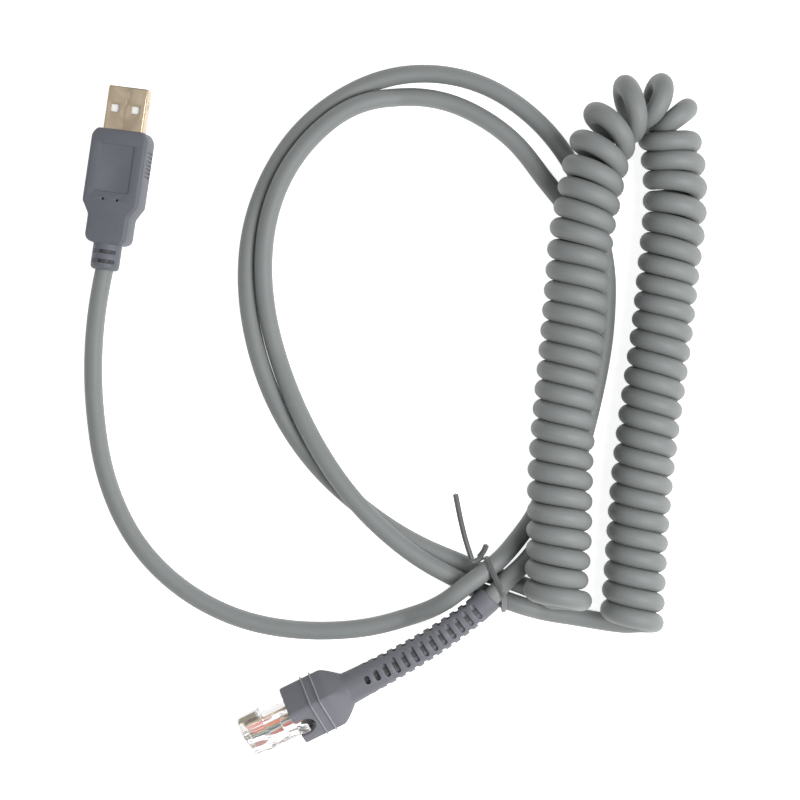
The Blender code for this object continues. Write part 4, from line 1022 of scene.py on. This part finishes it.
# ---- USB plug -------------------------------------------------------------------------------------
# distance from the collar's rear end, inset from the collar's radius
COLLAR_ROWS = (
    (0.0, 1.0), (0.12, 0.62), (0.4, 0.28), (0.85, 0.06), (1.4, 0.0), (4.0, 0.0),
    (COLLAR_END - 0.5, 0.0),
)
# distance past the collar, half width, half height, corner radius
FLARE_ROWS = ((0.1, 4.62, 4.25, 2.6), (0.3, 5.2, 4.3, 2.2), (0.7, 5.72, 4.36, 1.85),
              (1.3, 6.1, 4.42, 1.6))
# y, width added to the neck's half width, corner radius
NECK_ROWS = (
    (COLLAR_END + 2.2, 0.0, 1.45), (12.4, 0.0, 1.45), (14.2, 0.0, 1.45),
    (SHOULDER - 0.5, 0.03, 1.45), (SHOULDER + 0.1, 0.22, 1.45), (SHOULDER + 0.9, 0.72, 1.4),
)
# y, insets from the body's half width and half height, corner radius
BODY_ROWS = (
    (MAIN - 1.0, 0.68, 0, 1.35), (MAIN - 0.4, 0.26, 0, 1.35), (MAIN + 0.1, 0.06, 0, 1.3),
    (MAIN + 0.7, 0, 0, 1.3), (23.0, 0, 0, 1.3), (26.0, 0, 0, 1.3), (29.0, 0, 0, 1.3),
    (32.0, 0, 0, 1.3), (35.0, 0, 0, 1.3), (FACE - 3.6, 0, 0, 1.3), (FACE - 2.8, 0, 0, 1.3),
    (FACE - 2.3, 0.04, 0, 1.3), (FACE - 1.8, 0.2, 0.02, 1.3), (FACE - 1.2, 0.5, 0.06, 1.3),
    (FACE - 0.7, 0.85, 0.16, 1.3), (FACE - 0.35, 1.12, 0.3, 1.25), (FACE - 0.1, 1.4, 0.52, 1.2),
    (FACE, 1.7, 0.82, 1.0),
)
# the shell's folded seam: x, y
SEAM = (
    (0.35, TIP + 0.5), (0.35, TIP - 0.9), (0.75, TIP - 1.35), (0.75, TIP - 2.9),
    (0.42, TIP - 3.4), (0.1, TIP - 5.6), (-0.25, TIP - 6.1), (-0.25, TIP - 8.3),
    (-0.42, TIP - 9.3), (-0.05, TIP - 9.7), (-0.05, SHELL_REAR + 2),
)
SEAM_HALF = 0.075


def usb_stations():
    """y, half width, half height and corner radius along the overmould."""
    neck_w, neck_h, body_w, body_h = NECK_W / 2, NECK_H / 2, BODY_W / 2, BODY_H / 2
    rows = [(y, *[COLLAR_R - inset] * 3) for y, inset in COLLAR_ROWS]
    rows.append((COLLAR_END, COLLAR_R + 0.02, COLLAR_R + 0.02, COLLAR_R))
    rows += [(COLLAR_END + past, *sizes) for past, *sizes in FLARE_ROWS]
    rows += [(y, neck_w + more, neck_h, corner) for y, more, corner in NECK_ROWS]
    rows += [(y, body_w - in_w, body_h - in_h, corner) for y, in_w, in_h, corner in BODY_ROWS]
    return rows


def grip_grooves(frame):
    """Tapered grooves across both narrow sides."""
    angles = np.linspace(0, 2 * math.pi, 25)[:-1]
    outline = []
    for a in angles:
        height = math.copysign(abs(math.cos(a)) ** 0.6, math.cos(a))
        outline.append((0.32 * math.sin(a), 2.9 * height))
    grooves = []
    for side in (-1, 1):
        for i in range(GRIPS):
            y = GRIP_FIRST + GRIP_PITCH * i
            rings = []
            for depth, widen in ((BODY_W / 2 - GRIP_CUT, 0.75), (BODY_W / 2 + 0.4, 1.3)):
                rings.append([frame(side * depth, y + dy * widen, z) for dy, z in outline])
            grooves.append(rings)
    return grooves


def build_usb_mould(frame):
    rings = [frame.ring(y, section(*sizes, 7)) for y, *sizes in usb_stations()]
    body = add_solid("usb_mould", rings, USB_MOULD)
    faces = (frame, frame.flipped())
    cut(body, "pocket", block(frame, (0, 33.0, 0), (12.3, 18.0, 4.8), 0.4))
    cut(body, "bore", rod(frame(0, -2, 0), frame(0, 14.0, 0), CORD_R + 0.06, 40))
    cut(body, "channel", rod(frame(0, 13.0, 0), frame(0, 25.0, 0), 2.2))
    panel_y = FACE - PANEL_FROM_FACE - PANEL_L / 2
    panel = rounded(0, panel_y, PANEL_W / 2, PANEL_L / 2, 0.8, 7)
    low, high = BODY_H / 2 - PANEL_DEEP, BODY_H / 2 + 0.6
    cut(body, "panels", *[prism(face, panel, low, high, grow=0.28) for face in faces])
    cut(body, "grips", *grip_grooves(frame))
    slots = []
    for y in RELIEF_SLOTS:
        slots += [prism(face, rounded(0, y, 3.45, 0.55, 0.3), 2.2, 5.4, 0.05) for face in faces]
    cut(body, "slots", *slots)
    pins = []
    for x in (-PIN_HOLE_X, PIN_HOLE_X):
        pins.append(rod(frame(x, PIN_HOLE_Y, 3.0), frame(x, PIN_HOLE_Y, 6), PIN_HOLE_R, 20))
    cut(body, "pins", *pins)
    settle(body, edge=0.13)
    stand_in(body, "usb_overmould", "usb_plug")


def seam_groove(frame):
    dense = resample(np.array(SEAM), 0.25)
    normal = unit(np.column_stack([-np.gradient(dense[:, 1]), np.gradient(dense[:, 0])]))
    left, right = dense + SEAM_HALF * normal, dense - SEAM_HALF * normal
    return [
        [frame(*a, 2.15), frame(*b, 2.15), frame(*b, 2.6), frame(*a, 2.6)]
        for a, b in zip(left, right)
    ]


def build_usb_shell(frame):
    half_w, half_h = SHELL_W / 2, SHELL_H / 2

    def outer(inset):
        return section(half_w - inset, half_h - inset, 0.62 - inset * 0.6, 6)

    inner_w, inner_h = half_w - SHELL_WALL, half_h - SHELL_WALL
    inner = section(inner_w, inner_h, 0.34, 6)
    mouth = section(inner_w + 0.1, inner_h + 0.1, 0.4, 6)
    profile = (
        (SHELL_REAR, outer(0)), (36.0, outer(0)), (TIP - 4, outer(0)), (TIP - 0.45, outer(0)),
        (TIP - 0.16, outer(0.05)), (TIP, outer(0.14)), (TIP, mouth), (TIP - 0.25, inner),
        (SHELL_REAR, inner),
    )
    rings = [frame.ring(y, shape) for y, shape in profile]
    shell = add("usb_shell_sheet", hoop_mesh("usb_shell_sheet", rings), STEEL)
    openings = []
    for side in (-1, 1):
        window = rounded(side * WINDOW_X, WINDOW_Y, WINDOW_W / 2, WINDOW_L / 2, 0.25)
        openings += [prism(face, window, 1.2, 3.2) for face in (frame, frame.flipped())]
    cut(shell, "windows", *openings)
    cut(shell, "seam", seam_groove(frame))
    pits = ((0.62, TIP - 1.15), (-0.3, TIP - 9.3))
    cut(shell, "pits", *[rod(frame(*at, 2.12), frame(*at, 2.6), 0.16, 14) for at in pits])
    sideways = Frame(frame.origin, frame.y, frame.z, frame.x)
    dent = rounded(TIP - 4.0, 0.0, 1.6, 0.35, 0.3)
    cut(shell, "dents", prism(sideways, dent, half_w - 0.12, half_w + 0.3, grow=0.2))
    settle(shell, edge=0.05, angle=50)
    stand_in(shell, "usb_shell", "usb_plug")


# ---- modular plug ---------------------------------------------------------------------------------
# distance behind the boot's rim, inset from its half sizes, corner radius
RIM_ROWS = ((0.0, 0.42, 0.7), (0.12, 0.2, 0.85), (0.35, 0.05, 1.0), (0.7, 0.0, 1.0))
FIN_STEPS = (0.0, 0.08, 0.2, 0.35, 0.5, 0.65, 0.8, 0.92, 1.0)  # shares of a fin's thickness
# distance before the strain relief's end, inset from its radius
RELIEF_END = ((0.75, 0.03), (0.4, 0.14), (0.15, 0.3), (0.0, 0.5))
# y, inset from the clear body's half width, corner radius
PLUG_ROWS = (
    (PLUG_REAR, 0.5, 0.3), (PLUG_REAR + 0.3, 0.25, 0.45), (-1.0, 0.2, 0.45), (-0.4, 0.0, 0.5),
    (PLUG_FRONT - 1.2, 0.0, 0.5), (PLUG_FRONT - 0.45, 0.08, 0.55),
    (PLUG_FRONT - 0.12, 0.25, 0.6), (PLUG_FRONT, 0.5, 0.6),
)
# y, z, half thickness and half width along the latch
LATCH_ROWS = (
    (14.15, 3.55, 0.30, 3.0), (13.8, 3.72, 0.42, 3.1), (12.6, 3.92, 0.52, 3.1),
    (10.8, 4.14, 0.52, 3.1), (9.3, 4.36, 0.52, 3.1), (9.0, 4.42, 0.52, 3.05),
    (8.8, 4.45, 0.50, 2.2), (8.4, 4.5, 0.50, 1.95), (7.4, 4.64, 0.48, 1.9),
    (4.5, 5.03, 0.44, 1.9), (1.0, 5.5, 0.42, 1.9), (-1.8, 5.9, 0.42, 1.88),
    (-2.6, 6.02, 0.40, 1.8), (-3.2, 6.15, 0.34, 1.6), (-3.5, 6.22, 0.22, 1.35),
)


def boot_stations(total):
    """Distance behind the rim, half width, half height and corner radius down the boot."""
    half_w, half_h = BOOT_W / 2, BOOT_H / 2
    rows = [(d, half_w - inset, half_h - inset, corner) for d, inset, corner in RIM_ROWS]
    for at in FIN_AT:
        rows += [(at - 0.6, half_w, half_h, 1.0), (at - 0.1, half_w, half_h, 1.0)]
        for share in FIN_STEPS:
            bulge = math.sqrt(max(0.0, 1.0 - (2.0 * share - 1.0) ** 2))
            out = 0.04 + (FIN_PROUD - 0.04) * bulge
            rows.append((at + FIN_T * share, half_w + out, half_h + out, 1.0 + 0.6 * out))
        rows.append((at + FIN_T + 0.1, half_w, half_h, 1.0))
    taper_w, taper_h = half_w - 0.12, half_h - 0.05
    rows += [
        (11.4, half_w, half_h, 1.0), (STRAIGHT_END, half_w - 0.02, half_h - 0.01, 1.02),
        (TAPER_START, taper_w, taper_h, 1.1),
    ]
    neck = RELIEF_R0 + 0.1
    for part in np.linspace(0.0, 1.0, 9)[1:]:
        share = 0.72 * part**0.92 + 0.28 * smoothstep(part)
        wide = taper_w + (neck - taper_w) * share
        high = taper_h + (neck - taper_h) * share
        corner = min(1.1 + (neck - 1.1) * part**1.7, wide, high)
        rows.append((TAPER_START + (NECK_END + 0.4 - TAPER_START) * part, wide, high, corner))
    for d in np.linspace(NECK_END + 1.1, total - 1.1, 40):
        radius = RELIEF_R0 + (RELIEF_R1 - RELIEF_R0) * (d - NECK_END) / (total - NECK_END)
        radius += 0.1 * math.exp(-(((d - NECK_END) / 2.0) ** 2))
        rows.append((d, radius, radius, radius))
    return rows + [(total - d, *[RELIEF_R1 - inset] * 3) for d, inset in RELIEF_END]


def relief_slots(route):
    """Four staggered rows of slots round the strain relief; the first three slots are narrower."""
    slots = []
    for row in range(4):
        shift = 0.0 if row % 2 == 0 else -SLOT_PITCH / 2
        for k in range(SLOT_COUNT):
            here, right, up = boot_frame(route, SLOT_FIRST + shift + SLOT_PITCH * k)
            ways = (up, right, -up, -right)
            out, across = ways[row], ways[(row + 1) % 4]
            width = SLOT_W if k > 2 else SLOT_W * (0.50 + 0.17 * k)
            frame = Frame(here.origin, across, np.cross(out, across), out)
            outline = rounded(0, 0, width / 2, SLOT_L / 2, SLOT_L / 2 - 0.02, 5)
            slots.append(prism(frame, outline, 2.55, 5.4, grow=0.12))
    return slots


def paint_fin_highlight(boot, frame):
    """Gives the fins' proud faces the paler rib material, a painted highlight where they catch the
    light.
    """
    boot.data.materials.append(FIN_HIGHLIGHT_MOULD)
    for face in boot.data.polygons:
        local = np.array(face.center) / MM - CENTRE - frame.origin
        x, y, z = (float(local @ axis) for axis in (frame.x, frame.y, frame.z))
        proud = max(abs(x) - BOOT_W / 2, abs(z) - BOOT_H / 2) > 0.12
        if proud and any(at - 0.05 < -y < at + FIN_T + 0.05 for at in FIN_AT):
            face.material_index = 1


def build_boot(route):
    """Builds the boot along the route and returns the plug's frame."""
    total = float(nearest_length(route, BOOT_AXIS[-1]))
    head = boot_frame(route, 0.5)[0]
    frame = Frame(route[0], head.x, head.y, head.z)
    rings = []
    for distance, *sizes in boot_stations(total):
        shape = section(*sizes, 8)
        if distance <= STRAIGHT_END:
            rings.append(frame.ring(-distance, shape))
        else:
            rings.append(boot_frame(route, distance)[0].ring(0.0, shape))
    boot = add_solid("modular_boot_mould", rings, BOOT_MOULD, sharp=28.0)
    cut(boot, "pocket", block(frame, (0, -2.9, 0), (12.3, 8.4, 8.4), 0.3))
    cut(boot, "cavity", block(frame, (0, -9.8, 0), (10.4, 7.0, 6.6), 0.5))
    bore = at_length(route, np.linspace(12.8, total + 2.5, 60))
    cut(boot, "bore", tube(bore, CORD_R + 0.07, 32))
    notch_r = NOTCH_W / 2
    notch = [(notch_r, 1.5), (-notch_r, 1.5)]
    arc_y = -(NOTCH_L - notch_r)
    for a in np.linspace(0, math.pi, 25):
        notch.append((-notch_r * math.cos(a), arc_y - notch_r * math.sin(a)))
    cut(boot, "notch", prism(frame, notch, 3.1, 8.2))
    cut(boot, "slots", *relief_slots(route))
    settle(boot, edge=0.1, angle=42)
    paint_fin_highlight(boot, frame)
    stand_in(boot, "modular_boot", "modular_plug")
    return frame


def way_x(i, count):
    """x of one of a centred row of ways."""
    return (i - (count - 1) / 2) * WAY_PITCH


def build_plug_body(frame):
    half_w = PLUG_W / 2
    middle, half_h = (PLUG_LOW + PLUG_TOP) / 2, (PLUG_TOP - PLUG_LOW) / 2
    rings = []
    for y, inset, corner in PLUG_ROWS:
        shape = section(half_w - inset, half_h - min(inset, 0.3), corner)
        rings.append([frame(x, y, middle + z) for x, z in shape])
    body = add_solid("modular_plug_clear", rings, CLEAR_PLASTIC)
    comb = [block(frame, (way_x(i, WAYS), 12.2, -3.4), (0.56, 7.8, 3.6)) for i in range(WAYS)]
    cut(body, "comb", *comb)
    cut(body, "cavity", block(frame, (0, 0.2, -0.8), (10.2, 15.4, 3.0), 0.3))
    tunnels = []
    for i in range(WIRES):
        x = way_x(i, WIRES)
        tunnels.append(rod(frame(x, 7.0, -0.75), frame(x, 13.4, -0.75), 0.5, 12))
    cut(body, "tunnels", *tunnels)
    cut(body, "window", prism(frame, rounded(0, 1.9, 3.7, 1.6, 0.4), 1.2, 3.6, grow=0.3))
    steps = []
    for side in (-1, 1):
        centre = (side * (half_w - 0.35), 13.2, PLUG_TOP - 0.1)
        steps.append(block(frame, centre, (1.1, 4.0, 1.4), 0.1))
    cut(body, "step", *steps)
    front_top = (0, PLUG_FRONT - 0.1, PLUG_TOP - 0.7)
    cut(body, "relief", block(frame, front_top, (6.4, 1.2, 0.9), 0.1))
    settle(body, edge=0.14, angle=40)
    stand_in(body, "modular_plug_body", "modular_plug")


def build_latch(frame):
    rings = []
    for y, middle, half_t, half_w in LATCH_ROWS:
        shape = section(half_w, half_t, min(0.2, half_t * 0.6), 3)
        rings.append([frame(x, y, middle + z) for x, z in shape])
    latch = add_solid("modular_latch_clear", rings, CLEAR_PLASTIC)
    cut(latch, "hollow", prism(frame, rounded(0, 3.2, 1.15, 3.6, 0.5), 5.15, 7.2, grow=0.1))
    settle(latch, edge=0.07, angle=45)
    stand_in(latch, "modular_latch", "latch")


def build_plug_wires(frame):
    """Eight wires that fan out from two layers in the cord to one flat row in the plug."""
    for i in range(WIRES):
        packed, spread = (i - (WIRES - 1) / 2) * 0.5, way_x(i, WIRES)
        layer = 0.5 if i % 2 == 0 else -0.5
        path = [
            frame(packed, -14.0, layer), frame(packed * 1.05, -11.5, layer),
            frame((packed + spread) / 2, -8.0, layer * 0.6 - 0.3), frame(spread, -4.2, -0.8),
            frame(spread, 1.5, -0.85), frame(spread, 7.6, -0.75), frame(spread, 13.1, -0.75),
        ]
        line = hermite(smooth_route(path, 1.0), 0.5)
        radius = np.full(len(line), 0.47)
        radius[:2], radius[-2:] = (0.22, 0.38), (0.38, 0.22)
        wire = strand(
            f"plug_wire_{i + 1}", line, *carried_frames(line), lengths(line), radius,
            wire_look(f"wire_{i + 1}", WIRES_RGB[i]), sides=12, cap_start=True, cap_end=True,
        )
        stand_in(wire, f"modular_wire_{i + 1}", "modular_plug")


# ---- twist tie ------------------------------------------------------------------------------------
def tie_band(strands):
    """The closed path of the tie's band, in its upright plane, round every strand it binds."""
    start, along, normal = tie_plane()
    angles = np.linspace(0, 2 * math.pi, 33)[:-1]
    around = []
    for points in strands:
        for point in points:
            off = max(abs((point[:2] - start) @ normal) - TIE_R, 0)
            place = (point[:2] - start) @ along
            if off < CORD_R and -TIE_MARGIN < place < BAND_REACH:
                radius = math.sqrt(CORD_R**2 - off**2) + BAND_GAP
                for a in angles:
                    x, z = place + radius * math.cos(a), point[2] + radius * math.sin(a)
                    around.append((x, z))
    path = hull(around)
    path[:, 1] = np.maximum(path[:, 1], BAND_HALF + TABLE_GAP)
    path = resample(np.vstack([path, path[:1]]), 0.5)[:-1]
    for _ in range(6):
        path = path + 0.25 * (np.roll(path, 1, axis=0) + np.roll(path, -1, axis=0) - 2 * path)
    path = resample(np.vstack([path, path[:1]]), 0.5)[:-1]
    reach = path[:, 0].max() - TIE_BEND_AT
    bend = np.clip((path[:, 0] - TIE_BEND_AT) / reach, 0, 1) ** 1.4
    sideways = np.array(TIE_BEND)
    return np.array(
        [[*(start + along * x + sideways * share), z] for (x, z), share in zip(path, bend)]
    )


def ribbon_outline():
    """Two thin wings with a ridge where the wire runs."""
    half = []
    for x in np.linspace(0.80, -0.80, 15):
        ridge = 0.25 * math.exp(-((x / 0.30) ** 2))
        half.append((x, 0.13 + ridge - 0.06 * (abs(x) > 0.75)))
    return half + [(-x, -z) for x, z in half]


def ribbon(path, wide, cyclic=False, scale=None):
    """Rings of the tie's section along a path; wide gives the direction of its width."""
    if cyclic:
        tangent = unit(np.roll(path, -1, axis=0) - np.roll(path, 1, axis=0))
    else:
        tangent = unit(np.gradient(path, axis=0))
    wide = unit(wide - (wide * tangent).sum(axis=1, keepdims=True) * tangent)
    thick = np.cross(tangent, wide)
    scale = np.ones(len(path)) if scale is None else scale
    outline = ribbon_outline()
    return [
        [path[k] + scale[k] * (x * wide[k] + z * thick[k]) for x, z in outline]
        for k in range(len(path))
    ]


def build_tie_band(strands):
    normal = tie_plane()[2]
    band = tie_band(strands)
    rings = ribbon(band, np.tile((*normal, 0.0), (len(band), 1)), cyclic=True)
    obj = add("tie_loop", hoop_mesh("tie_loop", rings, 60.0), TIE)
    stand_in(obj, "tie_band", "bundle")


def build_tie_knot():
    """Two ribbons wound round each other."""
    turns, wind_r = 1.3, 0.46
    start, end = (np.array(point) for point in TWIST_POINTS)
    axis = unit(end - start)
    across = unit(np.cross(axis, (0, 0, 1)))
    up = np.cross(across, axis)
    start, end = start - axis * 0.9, end + axis * 0.5
    part = np.linspace(0, 1, 26)
    scale = np.clip(0.55 + 4 * np.minimum(part, 1 - part), 0.55, 0.95)
    solids = []
    for phase in (0.0, math.pi):
        angle = (phase + part * math.pi * 2 * turns)[:, None]
        out = np.cos(angle) * across + np.sin(angle) * up
        path = start + (end - start) * part[:, None] + wind_r * out
        solids.append(ribbon(path, np.cross(out, axis), scale=scale))
    obj = add("tie_knot", solids_mesh("tie_knot", solids), TIE)
    stand_in(obj, "tie_twist", "bundle")


def build_tie_tails():
    for name, control in TIE_TAILS.items():
        path = hermite(smooth_route(control, 1.0), 0.6)
        tangent = unit(np.gradient(path, axis=0))
        flat = unit(np.cross(tangent, (0, 0, 1.0)))
        upright = np.cross(flat, tangent)
        twist = (0.45 - 0.35 * np.linspace(0, 1, len(path)))[:, None]
        wide = np.cos(twist) * flat + np.sin(twist) * upright
        obj = add_solid(f"tie_end_{name}", ribbon(path, wide), TIE, sharp=60.0)
        stand_in(obj, f"tie_tail_{name}", f"tie_{name}")


# ---- CAD nodes that stay --------------------------------------------------------------------------
def dress_nodes():
    looks = {"usb_contact_carrier": WHITE, "tie_core_long": TIN, "tie_core_short": TIN}
    for i, colour in enumerate(USB_RGB, 1):
        looks[f"usb_contact_{i}"] = GOLD
        looks[f"usb_wire_{i}"] = wire_look(f"usb_wire_look_{i}", colour)
    for i in range(1, WAYS + 1):
        looks[f"modular_contact_{i:02d}"] = BRASS
    for name, mat in looks.items():
        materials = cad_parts[name].data.materials
        materials.clear()
        materials.append(mat)


# ---- studio ---------------------------------------------------------------------------------------
def build_floor():
    ticks = np.linspace(-FLOOR_HALF, FLOOR_HALF, FLOOR_CELLS + 1)
    row = len(ticks)
    verts = [(x, y, 0.0) for y in ticks for x in ticks]
    corners = [j * row + i for j in range(FLOOR_CELLS) for i in range(FLOOR_CELLS)]
    data = bpy.data.meshes.new("floor")
    data.from_pydata(verts, [], [(c, c + 1, c + 1 + row, c + row) for c in corners])
    add("floor", data, floor_look("floor_paper"))


def build_lights():
    world = bpy.data.worlds.new("studio")
    bpy.context.scene.world = world
    world.use_nodes = True
    background = world.node_tree.nodes["Background"]
    background.inputs["Color"].default_value = (1, 1, 1, 1)
    background.inputs["Strength"].default_value = WORLD_STRENGTH
    for name, (place, size, power) in LIGHTS.items():
        light = bpy.data.lights.new(name, "AREA")
        light.shape, light.size, light.energy = "DISK", size, power
        obj = bpy.data.objects.new(name, light)
        obj.location = place
        obj.rotation_euler = (-Vector(place)).to_track_quat("-Z", "Y").to_euler()
        bpy.context.scene.collection.objects.link(obj)
    bpy.context.scene.view_settings.view_transform = "Standard"


def build_camera():
    """A camera that looks straight down."""
    camera = bpy.data.cameras.new("camera")
    camera.sensor_width, camera.lens = SENSOR_WIDTH, LENS
    camera.clip_start, camera.clip_end = 0.01, 10
    obj = bpy.data.objects.new("camera", camera)
    x, y = (np.array(CAMERA_XY) + CENTRE[:2]) * MM
    obj.location = (x, y, CAMERA_HEIGHT)
    bpy.context.scene.collection.objects.link(obj)
    bpy.context.scene.camera = obj


def main():
    turns, coil, usb, modular = routes()
    build_cord(turns, coil, usb, modular)
    build_usb_mould(usb_frame())
    build_usb_shell(usb_frame())
    plug = build_boot(modular)
    build_plug_body(plug)
    build_latch(plug)
    build_plug_wires(plug)
    build_tie_band([usb, modular])
    build_tie_knot()
    build_tie_tails()
    dress_nodes()
    build_floor()
    build_lights()
    build_camera()


main()
